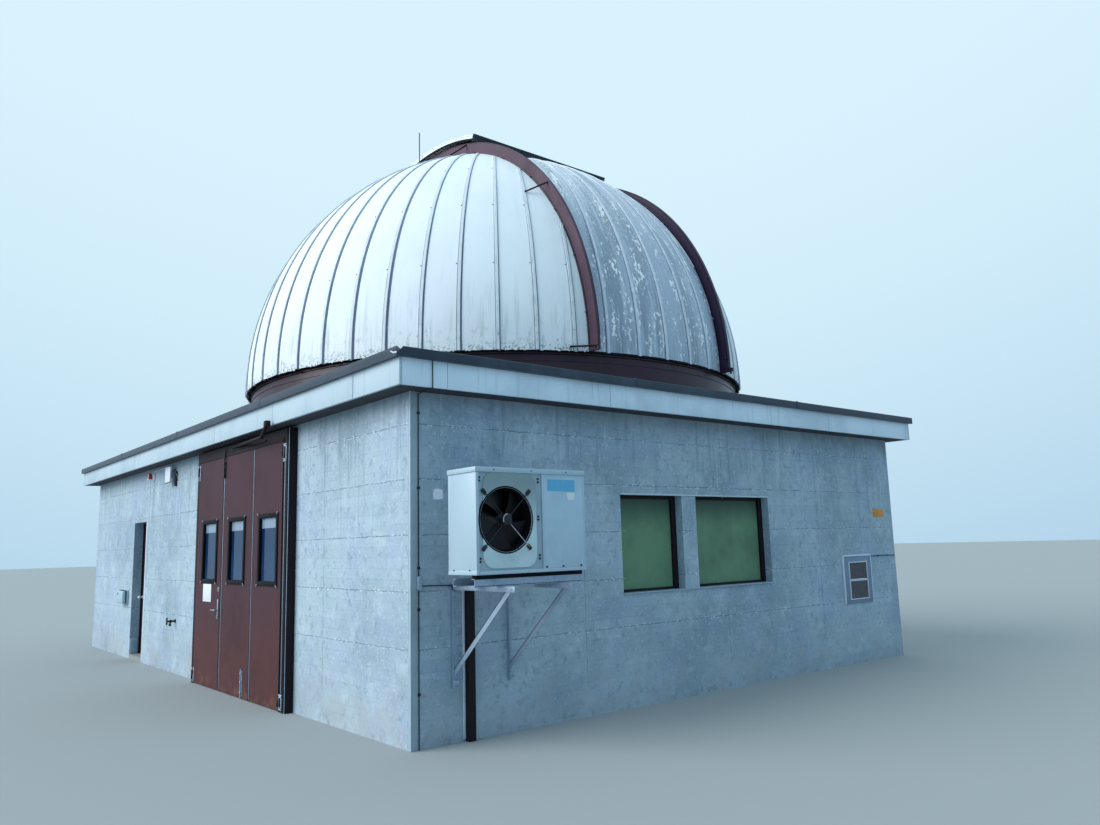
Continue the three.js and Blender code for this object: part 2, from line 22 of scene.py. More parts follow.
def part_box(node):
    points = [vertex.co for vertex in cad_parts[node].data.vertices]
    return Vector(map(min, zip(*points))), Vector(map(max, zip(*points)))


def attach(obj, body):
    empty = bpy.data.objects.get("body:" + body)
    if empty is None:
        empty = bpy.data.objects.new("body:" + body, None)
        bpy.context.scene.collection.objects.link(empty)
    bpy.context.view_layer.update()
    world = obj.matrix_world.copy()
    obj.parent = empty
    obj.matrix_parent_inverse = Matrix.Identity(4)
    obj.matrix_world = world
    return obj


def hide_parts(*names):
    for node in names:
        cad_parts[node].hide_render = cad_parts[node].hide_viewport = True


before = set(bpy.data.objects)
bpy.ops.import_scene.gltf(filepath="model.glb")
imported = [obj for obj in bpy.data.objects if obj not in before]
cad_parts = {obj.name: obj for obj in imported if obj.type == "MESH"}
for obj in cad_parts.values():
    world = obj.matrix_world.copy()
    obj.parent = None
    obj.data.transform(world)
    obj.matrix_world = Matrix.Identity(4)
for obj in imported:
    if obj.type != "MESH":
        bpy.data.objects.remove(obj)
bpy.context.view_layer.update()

LOG = logging.getLogger("observatory")

# Sizes in metres that both the patterns and the shapes follow.
LIFT_BASE = 0.335
LIFT_PITCH = 0.4995
DOME_CENTRE = 4.03
DOME_RADIUS = 3.82
MILLIMETRE = 0.001

Point = Sequence[float]
Span = tuple[float, float]  # Where something starts and ends, such as two heights or two radii.
Place = tuple[float, float, float]
Field = tuple[float, float, float, float]  # A rectangle: its two sides, then its two heights.


# Finishes


class Pattern(Enum):
    """What spreads a layer of a finish over a surface."""

    CLOUDS = "soft stains"
    STREAKS = "runs down a wall"
    BOARDS = "boards of the formwork, one above the other"
    BOARD_EDGES = "fine lines between those boards"
    LIFTS = "broken lines between two lifts of concrete"
    FLECKS = "flecks of slurry along those lines"
    PITS = "small round marks"
    MERIDIANS = "runs down the dome from its crown"
    FLAKES = "lifted paint, drawn out down the dome"
    PATCHES = "lifted paint, gathered in tall patches"
    SPANGLE = "zinc crystals"
    HEIGHT = "height above the ground"


@dataclass(frozen=True)
class Layer:
    """A colour laid over a finish where its pattern's value lies between low and high.

    The size is in millimetres, the relief is raised millimetres, and the fade gives the height in
    metres where the layer shows in full and the one where it has died away.
    """

    pattern: Pattern
    colour: str
    size: float
    low: float
    high: float
    amount: float = 1.0
    relief: float = 0.0
    rough: float = 0.0
    fade: Span | None = None


# Each pattern's own layers, which the finishes below are put together from.
boards = partial(Layer, Pattern.BOARDS)
board_edges = partial(Layer, Pattern.BOARD_EDGES)
clouds = partial(Layer, Pattern.CLOUDS)
flakes = partial(Layer, Pattern.FLAKES)
flecks = partial(Layer, Pattern.FLECKS)
height = partial(Layer, Pattern.HEIGHT)
lifts = partial(Layer, Pattern.LIFTS)
meridians = partial(Layer, Pattern.MERIDIANS)
patches = partial(Layer, Pattern.PATCHES)
pits = partial(Layer, Pattern.PITS)
spangle = partial(Layer, Pattern.SPANGLE)
streaks = partial(Layer, Pattern.STREAKS)


def linear(colour: str) -> tuple[float, float, float, float]:
    """Turns an sRGB hex colour such as #b4bfc3 into linear red, green, blue and alpha."""
    parts = [int(colour[i:i + 2], 16) / 255 for i in (1, 3, 5)]
    red, green, blue = (c / 12.92 if c <= 0.04045 else ((c + 0.055) / 1.055) ** 2.4 for c in parts)
    return red, green, blue, 1.0


# What a node's input takes: an output to link, or a value.
Input = bpy.types.NodeSocket | Sequence[float] | float
# The property that holds each node's own choice.
CHOICES = {
    "Math": "operation", "VectorMath": "operation", "MapRange": "interpolation_type",
    "Mix": "data_type", "TexWhiteNoise": "noise_dimensions", "TexVoronoi": "feature",
}


def add_node(
    tree: bpy.types.NodeTree, kind: str, choice: str | None = None,
    *values: Input, **inputs: Input,
) -> bpy.types.Node:
    """Adds a shader node with its settings and its links.

    Args:
        tree: The node tree of the material.
        kind: The node's type, without its ShaderNode prefix.
        choice: Its own choice, such as the operation of a Math node.
        *values: What each input socket takes, from the first one on.
        **inputs: The same by the socket's name, such as Base_Color, or its place, such as i6.

    Returns:
        The new node.
    """
    made = tree.nodes.new("ShaderNode" + kind)
    if choice:
        setattr(made, CHOICES[kind], choice)
    inputs.update({f"i{place}": value for place, value in enumerate(values)})
    for key, value in inputs.items():
        socket = made.inputs[int(key[1:]) if key[1:].isdigit() else key.replace("_", " ")]
        if isinstance(value, bpy.types.NodeSocket):
            tree.links.new(value, socket)
        else:
            socket.default_value = value
    return made


class PatternMaker:
    """Makes the patterns of one material, all from Object coordinates."""

    noise_roughness = 0.62
    # How sharply a line between two boards falls off, in lines a metre, and what breaks it up.
    edge_sharpness = 180.0
    edge_breaks = (3, 3, 9)
    # How far the line between two lifts wanders, and the features a metre of what draws it.
    lift_wander = 0.024
    lift_waves = (4, 4, 4)
    lift_breaks = (5, 5, 5)
    fleck_sizes = (24, 24, 60)
    # How many times longer than wide a run and a flake are.
    streak_stretch = 14.0
    flake_stretch = 2.2
    patches_per_metre = (7.0, 1.5, 1.0)
    patch_weight = 0.9

    def __init__(self, tree: bpy.types.NodeTree) -> None:
        """Starts with the coordinates that the patterns share."""
        self.tree = tree
        self.place = add_node(tree, "TexCoord").outputs["Object"]
        split = add_node(tree, "SeparateXYZ", None, self.place)
        self.x, self.y, self.z = split.outputs

    def node(
        self, kind: str, choice: str | None, *values: Input, **inputs: Input,
    ) -> bpy.types.NodeSocket:
        """Adds one node to this material and returns its first output."""
        return add_node(self.tree, kind, choice, *values, **inputs).outputs[0]

    def math(self, operation: str, *values: Input) -> bpy.types.NodeSocket:
        """Adds a Math node and returns its output."""
        return self.node("Math", operation, *values)

    def noise(
        self, place: bpy.types.NodeSocket, per_metre: Point, detail: float,
    ) -> bpy.types.NodeSocket:
        """Noise with so many features a metre along each axis."""
        sized = self.node("Mapping", None, place, Scale=per_metre)
        return self.node(
            "TexNoise", None, sized, Scale=1.0, Detail=detail, Roughness=self.noise_roughness)

    def on_dome(self) -> bpy.types.NodeSocket:
        """Metres round the dome and metres up it, the same for every gore."""
        rise = self.math("SUBTRACT", self.z, DOME_CENTRE)
        squares = self.math("ADD", self.math("POWER", self.x, 2), self.math("POWER", self.y, 2))
        level = self.math("SQRT", squares)
        around = self.math("MULTIPLY", self.math("ARCTAN2", self.y, self.x), DOME_RADIUS)
        along = self.math("MULTIPLY", self.math("ARCTAN2", rise, level), DOME_RADIUS)
        return self.node("CombineXYZ", None, around, along)

    def line_at_steps(self, steps: bpy.types.NodeSocket, sharpness: float) -> bpy.types.NodeSocket:
        """One at each whole step, falling off on both sides of it."""
        off = self.math("ABSOLUTE", self.math("SUBTRACT", steps, self.math("ROUND", steps)))
        return self.math("SUBTRACT", 1.0, self.math("MULTIPLY", off, sharpness))

    def value(self, layer: Layer) -> bpy.types.NodeSocket:
        """The pattern's own value over the surface, before low and high are applied."""
        per_metre = 1000 / layer.size if layer.size else 1.0
        kind = layer.pattern
        if kind is Pattern.CLOUDS:
            return self.noise(self.place, (per_metre,) * 3, 5)
        if kind is Pattern.STREAKS:
            return self.noise(self.place, (per_metre, per_metre, per_metre / self.streak_stretch), 4)
        if kind is Pattern.MERIDIANS:
            return self.noise(self.on_dome(), (per_metre, per_metre / self.streak_stretch, 1), 4)
        if kind in (Pattern.FLAKES, Pattern.PATCHES):
            fine = self.noise(self.on_dome(), (per_metre, per_metre / self.flake_stretch, 1), 9)
            if kind is Pattern.FLAKES:
                return fine
            patches = self.noise(self.on_dome(), self.patches_per_metre, 2)
            return self.math("MULTIPLY_ADD", patches, self.patch_weight, fine)
        if kind in (Pattern.BOARDS, Pattern.BOARD_EDGES):
            rise = self.math("MULTIPLY", self.math("SUBTRACT", self.z, LIFT_BASE), per_metre)
            if kind is Pattern.BOARDS:
                return self.node("TexWhiteNoise", "1D", W=self.math("FLOOR", rise))
            line = self.line_at_steps(rise, self.edge_sharpness / per_metre)
            return self.math("SUBTRACT", line, self.noise(self.place, self.edge_breaks, 3))
        if kind in (Pattern.LIFTS, Pattern.FLECKS):
            wave = self.noise(self.place, self.lift_waves, 4)
            rise = self.math("ADD", self.z, self.math("MULTIPLY", wave, self.lift_wander))
            above = self.math("SUBTRACT", rise, LIFT_BASE + self.lift_wander / 2)
            line = self.line_at_steps(self.math("DIVIDE", above, LIFT_PITCH), LIFT_PITCH * per_metre)
            if kind is Pattern.FLECKS:
                return self.math("MINIMUM", line, self.noise(self.place, self.fleck_sizes, 5))
            return self.math("SUBTRACT", line, self.noise(self.place, self.lift_breaks, 5))
        if kind is Pattern.HEIGHT:
            return self.z
        cells = add_node(self.tree, "TexVoronoi", "F1", self.place, Scale=per_metre)
        if kind is Pattern.SPANGLE:
            return self.node("SeparateColor", None, cells.outputs["Color"])
        return self.math("SUBTRACT", 1.0, cells.outputs["Distance"])

    def mask(self, layer: Layer) -> bpy.types.NodeSocket:
        """How much of the layer shows, from 0 to its amount."""
        value = self.value(layer)
        shown = self.node("MapRange", "SMOOTHSTEP", value, layer.low, layer.high, 0.0, layer.amount)
        if layer.fade:
            faded = self.node("MapRange", "SMOOTHSTEP", self.z, *layer.fade, 1.0, 0.0)
            shown = self.math("MULTIPLY", shown, faded)
        return shown


# Every coat here is a brushed or stoved film, which blurs what it mirrors.
COAT_ROUGHNESS = 0.15


@dataclass(frozen=True)
class Finish:
    """A real finish: its base colour, how it shines, and the layers over it, from the lowest up."""

    name: str
    colour: str
    roughness: float
    metallic: float = 0.0
    coat: float = 0.0
    shine: float = 0.5
    layers: tuple[Layer, ...] = ()

    def material(self) -> bpy.types.Material:
        """Returns the material of this finish, made when it is first asked for."""
        found = bpy.data.materials.get(self.name)
        if found:
            return found
        made = bpy.data.materials.new(self.name)
        made.use_nodes = True
        tree = made.node_tree
        shader = tree.nodes["Principled BSDF"]
        colour, rough, height = linear(self.colour), self.roughness, 0.0
        shader.inputs["Metallic"].default_value = self.metallic
        shader.inputs["Coat Weight"].default_value = self.coat
        shader.inputs["Coat Roughness"].default_value = COAT_ROUGHNESS
        shader.inputs["Specular IOR Level"].default_value = self.shine
        shader.inputs["Base Color"].default_value = colour
        shader.inputs["Roughness"].default_value = rough
        if not self.layers:
            return made
        patterns = PatternMaker(tree)
        for layer in self.layers:
            mask = patterns.mask(layer)
            over = linear(layer.colour)
            colour = add_node(tree, "Mix", "RGBA", mask, i6=colour, i7=over).outputs[2]
            if layer.rough:
                rough = patterns.math("MULTIPLY_ADD", mask, layer.rough, rough)
            if layer.relief:
                height = patterns.math("MULTIPLY_ADD", mask, layer.relief, height)
        tree.links.new(colour, shader.inputs["Base Color"])
        if isinstance(rough, bpy.types.NodeSocket):
            tree.links.new(rough, shader.inputs["Roughness"])
        if isinstance(height, bpy.types.NodeSocket):
            # The heights are millimetres, and the bump's distance makes them metres.
            bump = patterns.node("Bump", None, Height=height, Distance=MILLIMETRE, Strength=1.0)
            tree.links.new(bump, shader.inputs["Normal"])
        return made


# The lines between lifts show from here up, and not in the splashed foot of the wall.
LIFTS_SHOWN = (0.62, 0.5)
# Cast between rough level boards, so it is matt, with their faint bands, lift joints and air holes, and
# painted shade darkening its top under the soffit.
CONCRETE = Finish("board-marked concrete", "#acbfca", 0.92, layers=(
    clouds("#879ca9", 1300, 0.42, 0.68, 0.8, rough=0.03),
    clouds("#a3b2cf", 600, 0.46, 0.66, 0.5),
    boards("#8ea3af", 100, 0.35, 1.0, 0.18, 0.7),
    board_edges("#728795", 100, 0.1, 0.45, 0.5, -0.8),
    clouds("#c6d6e2", 40, 0.55, 0.66, 0.45, 0.5),
    clouds("#c3d5de", 260, 0.5, 0.72, 0.4, 0.5),
    clouds("#7e93a1", 75, 0.52, 0.7, 0.6, -0.5),
    streaks("#768b99", 80, 0.5, 0.7, 0.55, fade=(2.8, 1.5)),
    streaks("#cfe0e8", 60, 0.58, 0.72, 0.45, fade=(3.0, 0.8)),
    clouds("#6f8592", 16, 0.56, 0.7, 0.5, -0.6),
    lifts("#8497a3", 34, 0.1, 0.45, 0.45, -0.8, fade=LIFTS_SHOWN),
    lifts("#5d6f7b", 10, 0.22, 0.5, 0.6, -2.0, fade=LIFTS_SHOWN),
    flecks("#d6e3ec", 38, 0.54, 0.61, 0.8, 1.2, fade=LIFTS_SHOWN),
    pits("#4f606b", 170, 0.955, 0.97, 0.7, -2.0),
    pits("#647783", 47, 0.94, 0.965, 0.5, -1.0),
    clouds("#a3a9ae", 380, 0.35, 0.62, 0.6, fade=(0.1, 0.75)),
    clouds("#747b80", 90, 0.5, 0.72, 0.5, fade=(0.02, 0.22)),
    # Painted shade: the band just under the soffit is darker, as if the roof's overhang shades it.
    height("#6b7f8b", 0, 2.86, 3.13, 0.4),
))
# Rubbed smooth where the corner was made good, with only faint runs.
SMOOTH_CONCRETE = Finish("rubbed concrete", "#9fb2bd", 0.88, layers=(
    clouds("#7d909c", 420, 0.4, 0.7, 0.6),
    clouds("#acbdc7", 30, 0.5, 0.75, 0.4, 0.5),
    streaks("#74878f", 40, 0.55, 0.8, 0.5),
))
# Fine mortar without sand, lighter than the cast wall round it.
PALE_MORTAR = Finish("pale mortar", "#cbd8de", 0.85, layers=(
    clouds("#aebec6", 60, 0.42, 0.7, 0.6, 0.4),
    clouds("#8fa1ab", 14, 0.58, 0.76, 0.5, -0.4),
))
# Gypsum filler, the whitest and mattest spot on the wall.
FILLER = Finish("white filler", "#f2f4ff", 0.8, layers=(
    clouds("#c4cee0", 30, 0.5, 0.65, 0.7, 0.5),
))
# The gap between two form panels, which holds dirt.
JOINT_DIRT = Finish("dirt in the formwork joints", "#667986", 0.95, layers=(
    clouds("#7c909c", 40, 0.45, 0.7, 0.8),
))
# Steel-trowelled cement, smoother and browner than the walls, with soft wear stains.
TROWELLED_FLOOR = Finish("trowelled concrete floor", "#8f918d", 0.8, layers=(
    clouds("#747772", 700, 0.4, 0.7, 0.6),
    clouds("#a3a5a0", 25, 0.5, 0.8, 0.4, 0.3),
))
# Concrete below, darkened to near black as painted shade on the soffit, and a grey roof coating on what
# lies higher than the fascia's middle.
SOFFIT_SHADE_AND_ROOF_COATING = Finish("slab in painted shade below, roof coating above", "#3b3841", 0.9, layers=(
    clouds("#2f2d36", 500, 0.4, 0.7, 0.6),
    height("#5e666b", 0, 3.3, 3.32, 1.0),
    clouds("#4d5450", 260, 0.5, 0.7, 0.5),
    clouds("#9aa2a5", 12, 0.6, 0.8, 0.5, 1.2),
))
# Fibre-cement sheet with old paint, chalky, with faint runs below the coping.
FASCIA = Finish("painted fibre-cement fascia", "#b9ccd6", 0.72, layers=(
    clouds("#a0b5c1", 800, 0.42, 0.7, 0.6),
    streaks("#8ba1ad", 70, 0.55, 0.8, 0.55, 0.2),
    clouds("#758894", 40, 0.62, 0.78, 0.55),
    pits("#6e7b80", 170, 0.93, 0.96, 0.7),
))
# The same sheet, made paler on the right side, which faces away from the key light, as painted light.
FASCIA_PAINTED_LIGHT = Finish("painted fibre-cement fascia, lightened as painted light", "#ddeefa", 0.72, layers=(
    clouds("#b6cad6", 800, 0.42, 0.7, 0.6),
    streaks("#9fb4c0", 70, 0.55, 0.8, 0.5, 0.2),
    clouds("#8597a3", 40, 0.62, 0.78, 0.5),
))
# Dark coated sheet, with a dull shine on its bends and some white dust.
COPING = Finish("dark coated sheet metal", "#253140", 0.45, 0.25, 0.1, layers=(
    clouds("#394a5c", 350, 0.45, 0.7, 0.6, rough=0.12),
    clouds("#8795a0", 28, 0.68, 0.8, 0.45, 0.2),
    streaks("#222b33", 120, 0.55, 0.75, 0.5),
))
# Oil paint on steel doors, faded to a red brown low down and dusty at the foot.
DOOR_PAINT = Finish("brown oil paint on steel", "#472a33", 0.55, shine=0.2, layers=(
    height("#562f2c", 0, 1.5, 0.2, 0.8),
    clouds("#3a232a", 900, 0.4, 0.7, 0.65, rough=0.1),
    streaks("#5f4242", 160, 0.55, 0.8, 0.4, 0.2),
    clouds("#6b4d45", 22, 0.62, 0.78, 0.3, 0.15),
    clouds("#7a5a44", 160, 0.45, 0.7, 0.6, rough=0.3, fade=(0.02, 0.26)),
))
# The door paint darkened to near black as painted shade, for the soffit's shade and the frame's
# rebates.
BROWN_IN_PAINTED_SHADE = Finish("brown oil paint darkened as painted shade", "#180c13", 0.6, shine=0.25, layers=(
    clouds("#24141a", 500, 0.45, 0.7, 0.7, rough=0.1),
    clouds("#423034", 24, 0.64, 0.8, 0.3, 0.2),
))
# Extruded black rubber, which stays matt and swallows the light.
RUBBER = Finish("black rubber", "#06080f", 0.8, shine=0.25, layers=(
    clouds("#10141d", 60, 0.45, 0.75, 0.6, 0.15),
))
# Clear sheet over a dark room, with a pale blind in its top fifth.
WINDOW_GLASS = Finish("clear window glass", "#142b50", 0.1, shine=0.4, layers=(
    height("#20436a", 0, 1.9, 1.35, 0.9),
    clouds("#102246", 500, 0.4, 0.7, 0.6),
    height("#8a9bae", 0, 1.99, 1.995, 1.0),
    clouds("#3f5a76", 45, 0.62, 0.8, 0.3, rough=0.15),
))
# Gloss paint on boarding, faded to sage, with runs from the lintel and painted shadow from the lintel
# darkening its top.
SAGE_PAINT = Finish("sage green oil paint", "#678c6b", 0.6, layers=(
    clouds("#4b6a54", 600, 0.4, 0.7, 0.7),
    streaks("#759576", 130, 0.5, 0.75, 0.5),
    # Painted shadow: darker towards the top, under the recess's lintel.
    height("#344e41", 0, 1.85, 2.2, 0.9),
    streaks("#48624e", 35, 0.6, 0.8, 0.4),
))
# Stoved enamel on folded steel: even and slightly glossy.
UNIT_ENAMEL = Finish("stoved enamel, pale grey", "#adc3cf", 0.4, 0.0, 0.1, layers=(
    clouds("#a2b8c4", 500, 0.4, 0.7, 0.4),
    streaks("#93a2a8", 40, 0.6, 0.8, 0.3),
))
# The same enamel made lighter and bluer as a painted reflection of the sky, on the front sheets.
ENAMEL_WITH_PAINTED_SKY = Finish("stoved enamel, blue grey", "#b4cedd", 0.4, 0.0, 0.1, layers=(
    clouds("#93adbc", 600, 0.4, 0.7, 0.5),
    streaks("#7f9099", 35, 0.62, 0.8, 0.3),
))
# Blue enamel, chalked to a soft sheen.
VENT_PAINT = Finish("stoved enamel, blue", "#788da3", 0.45, layers=(
    clouds("#677d94", 250, 0.42, 0.7, 0.6),
))
# The plate round the fan, which took a greyer shade than the service panel beside it.
FAN_PLATE = Finish("stoved enamel, grey", "#98b0bd", 0.45, 0.0, 0.1, layers=(
    clouds("#849ba8", 400, 0.4, 0.7, 0.5),
))
# A pressed plate with an older, greener enamel, and painted shade from the lid darkening its top.
UNIT_PANEL = Finish("pressed panel, grey green", "#c4d9e0", 0.45, 0.0, 0.1, layers=(
    # Painted shade: darker towards the top, under the lid.
    height("#72868a", 0, 1.8, 2.3, 0.85),
    clouds("#94a8a9", 350, 0.4, 0.7, 0.5),
    streaks("#7f8b85", 30, 0.62, 0.82, 0.35),
))
# Plain coloured vinyl film, slightly bleached.
BARE_LABEL = Finish("plain vinyl label", "#5fb0d8", 0.45, layers=(
    clouds("#7fc2e0", 60, 0.5, 0.75, 0.5),
))
# White film and board, greyed a little by dust.
WHITE_LABEL = Finish("plain white label", "#dfe6e6", 0.55, layers=(
    clouds("#c3cccd", 30, 0.5, 0.75, 0.5),
))
# Orange enamel on sheet, a small warm spot on the wall.
ORANGE_PLATE = Finish("orange enamel plate", "#d98a1a", 0.4, layers=(
    clouds("#c07410", 90, 0.45, 0.75, 0.5),
))
# Powder coat and painted small ironware, a near black with a low sheen.
BLACK_COAT = Finish("black coated steel", "#0f1016", 0.4, 0.0, 0.15, 0.4, layers=(
    clouds("#1f2129", 150, 0.45, 0.75, 0.6, rough=0.15),
))
# Glass-filled nylon, dulled outdoors.
FAN_BLACK = Finish("black moulded nylon", "#06060d", 0.42, 0.0, 0.05, 0.25, layers=(
    clouds("#0f1018", 120, 0.45, 0.75, 0.6, rough=0.12),
))
# Hot-dip zinc, dulled outdoors, with crystals drawn at 14 mm.
ZINC = Finish("hot-dip galvanised steel", "#a3b5c8", 0.45, 0.4, layers=(
    spangle("#8c9daa", 14, 0.3, 1.0, 0.45, rough=0.1),
    clouds("#73838e", 160, 0.5, 0.75, 0.5, rough=0.15),
))
# Brushed stainless steel, bright but without sharp reflections.
STAINLESS = Finish("satin stainless steel", "#b9c0c6", 0.3, 0.9, layers=(
    clouds("#9aa2a9", 40, 0.45, 0.75, 0.5, rough=0.1),
))
# The doors' maroon on a duct cover, darkened until it looks black as painted shade of the bracket.
DUCT_MAROON_IN_PAINTED_SHADE = Finish("maroon paint on a wall duct, darkened as painted shade", "#10080c", 0.6, shine=0.3, layers=(
    clouds("#1c1014", 300, 0.45, 0.7, 0.6, rough=0.1),
    streaks("#0a0507", 60, 0.55, 0.8, 0.5),
))
# Moulded plastic, clean white with a soft gloss.
WHITE_PLASTIC = Finish("white moulded plastic", "#e3e7f2", 0.42, layers=(
    clouds("#c3cad6", 120, 0.45, 0.75, 0.5),
))
# A clear red moulding over a dark lamp, glossy and deep.
RED_LENS = Finish("red moulded lens", "#a51f2c", 0.18, 0.0, 0.4, layers=(
    clouds("#7d1420", 60, 0.45, 0.75, 0.5),
))
# Anodised slats, which show as brown grey between their own shadows.
LOUVRE = Finish("dark anodised louvre", "#5d5a60", 0.5, 0.2, layers=(
    clouds("#45434a", 80, 0.45, 0.75, 0.6, rough=0.1),
))
# White paint on sheet metal: clean high up, with grey algae and soot run down to the lower edge.
DOME_WHITE = Finish("weathered white paint on sheet metal", "#e9f1f6", 0.6, layers=(
    clouds("#dde8ec", 1300, 0.42, 0.7, 0.7),
    meridians("#cfdce2", 110, 0.55, 0.8, 0.5, 0.15),
    clouds("#c0ced3", 55, 0.64, 0.8, 0.3),
    flakes("#a7b5b8", 34, 0.66, 0.74, 0.6),
    meridians("#b3c1c3", 70, 0.48, 0.72, 0.7, rough=0.1, fade=(4.1, 5.2)),
    flakes("#8d9a9b", 60, 0.54, 0.68, 0.7, 0.2, rough=0.1, fade=(4.0, 4.45)),
    clouds("#5b6769", 30, 0.46, 0.64, 0.9, rough=0.1, fade=(3.985, 4.12)),
))
# The dome's white on its raised battens, brushed on, with dark spots where it flaked low down.
BATTEN_WHITE = Finish("white paint on seam battens", "#d9e3e7", 0.6, layers=(
    meridians("#a3b1b8", 18, 0.45, 0.7, 0.6, rough=0.1),
    flakes("#6c797e", 40, 0.55, 0.68, 0.7, fade=(4.05, 4.8)),
))
# Old mastic and dirt in the corner between a batten and the sheet beside it, with painted shade of the
# batten's flank, which thins higher up.
SEAM_DIRT_AND_PAINTED_SHADE = Finish("dirty mastic and painted shade along the seams", "#626c84", 0.85, layers=(
    meridians("#474f66", 26, 0.4, 0.65, 0.7),
    height("#8b98a6", 0, 4.7, 6.6, 0.85),
    flakes("#9fadb4", 50, 0.6, 0.7, 0.5),
))
# Grey aged paint with white topcoat left in runs and flakes along the seams.
SHUTTER_GREY = Finish("flaking grey paint on sheet metal", "#b3c2d2", 0.6, layers=(
    height("#e0e9f0", 0, 5.4, 7.3, 0.8),
    meridians("#8999a8", 340, 0.46, 0.6, 0.7, rough=0.1),
    meridians("#d3dfea", 110, 0.54, 0.64, 0.55),
    meridians("#7d8d9a", 70, 0.58, 0.68, 0.5),
    flakes("#74838f", 24, 0.57, 0.64, 0.5),
    flakes("#eaf1f5", 14, 0.54, 0.57, 0.8, 0.2, fade=(6.9, 4.6)),
    flakes("#dfe9ef", 55, 0.61, 0.63, 0.8, 0.3),
    patches("#ffffff", 40, 1.075, 1.085, 1.0, 0.6),
    meridians("#6d7c86", 45, 0.5, 0.7, 0.6, fade=(4.1, 4.9)),
))
# White topcoat that held on the raised seams of the grey shutter.
SHUTTER_SEAM = Finish("white paint left on shutter seams", "#d6e0ea", 0.6, layers=(
    meridians("#9dadbb", 22, 0.5, 0.68, 0.6),
    flakes("#f2f7fa", 60, 0.57, 0.62, 0.8),
))
# A newer white paint on sheet that the rain washes, the cleanest surface of the dome.
HOOD_WHITE = Finish("white paint on the upper shutter", "#eef4f6", 0.55, layers=(
    clouds("#cfdbe0", 400, 0.45, 0.7, 0.6),
    streaks("#98a6ac", 60, 0.6, 0.8, 0.4),
))
# Dark grey paint on folded steel, seen against the sky, with dusty spots.
BEAM_GREY = Finish("dark grey paint on the shutter beam", "#2e3a44", 0.5, 0.1, layers=(
    clouds("#1c262e", 260, 0.45, 0.7, 0.7, rough=0.1),
    clouds("#62737e", 30, 0.62, 0.8, 0.5, 0.2),
))
# The arches' maroon on the side away from the light, where it turns to violet.
SHADED_MAROON = Finish("maroon gloss paint, shaded arch", "#33223c", 0.5, shine=0.35, layers=(
    clouds("#281a34", 700, 0.4, 0.7, 0.7, rough=0.1),
))
# Red lead and maroon gloss on rolled steel, which mirrors the sky where it curves away.
MAROON = Finish("maroon gloss paint on steel", "#4b2f43", 0.5, shine=0.35, layers=(
    clouds("#3a2233", 700, 0.4, 0.7, 0.7, rough=0.1),
    clouds("#5c4159", 240, 0.55, 0.75, 0.4),
    streaks("#2c1823", 60, 0.58, 0.8, 0.4),
))
# The same gloss paint on the rolled curb, smoother, so that it carries a long soft highlight.
DRUM_MAROON = Finish("maroon gloss paint on the curb", "#3a1a29", 0.36, 0.0, 0.08, 0.35, layers=(
    clouds("#2c121e", 600, 0.4, 0.7, 0.7, rough=0.1),
    streaks("#46293a", 90, 0.58, 0.8, 0.35),
))
# A plain pale sheet without gloss, which takes soft shadows.
STUDIO_FLOOR = Finish("matt studio floor", "#9aa0a1", 0.95)


# Shapes


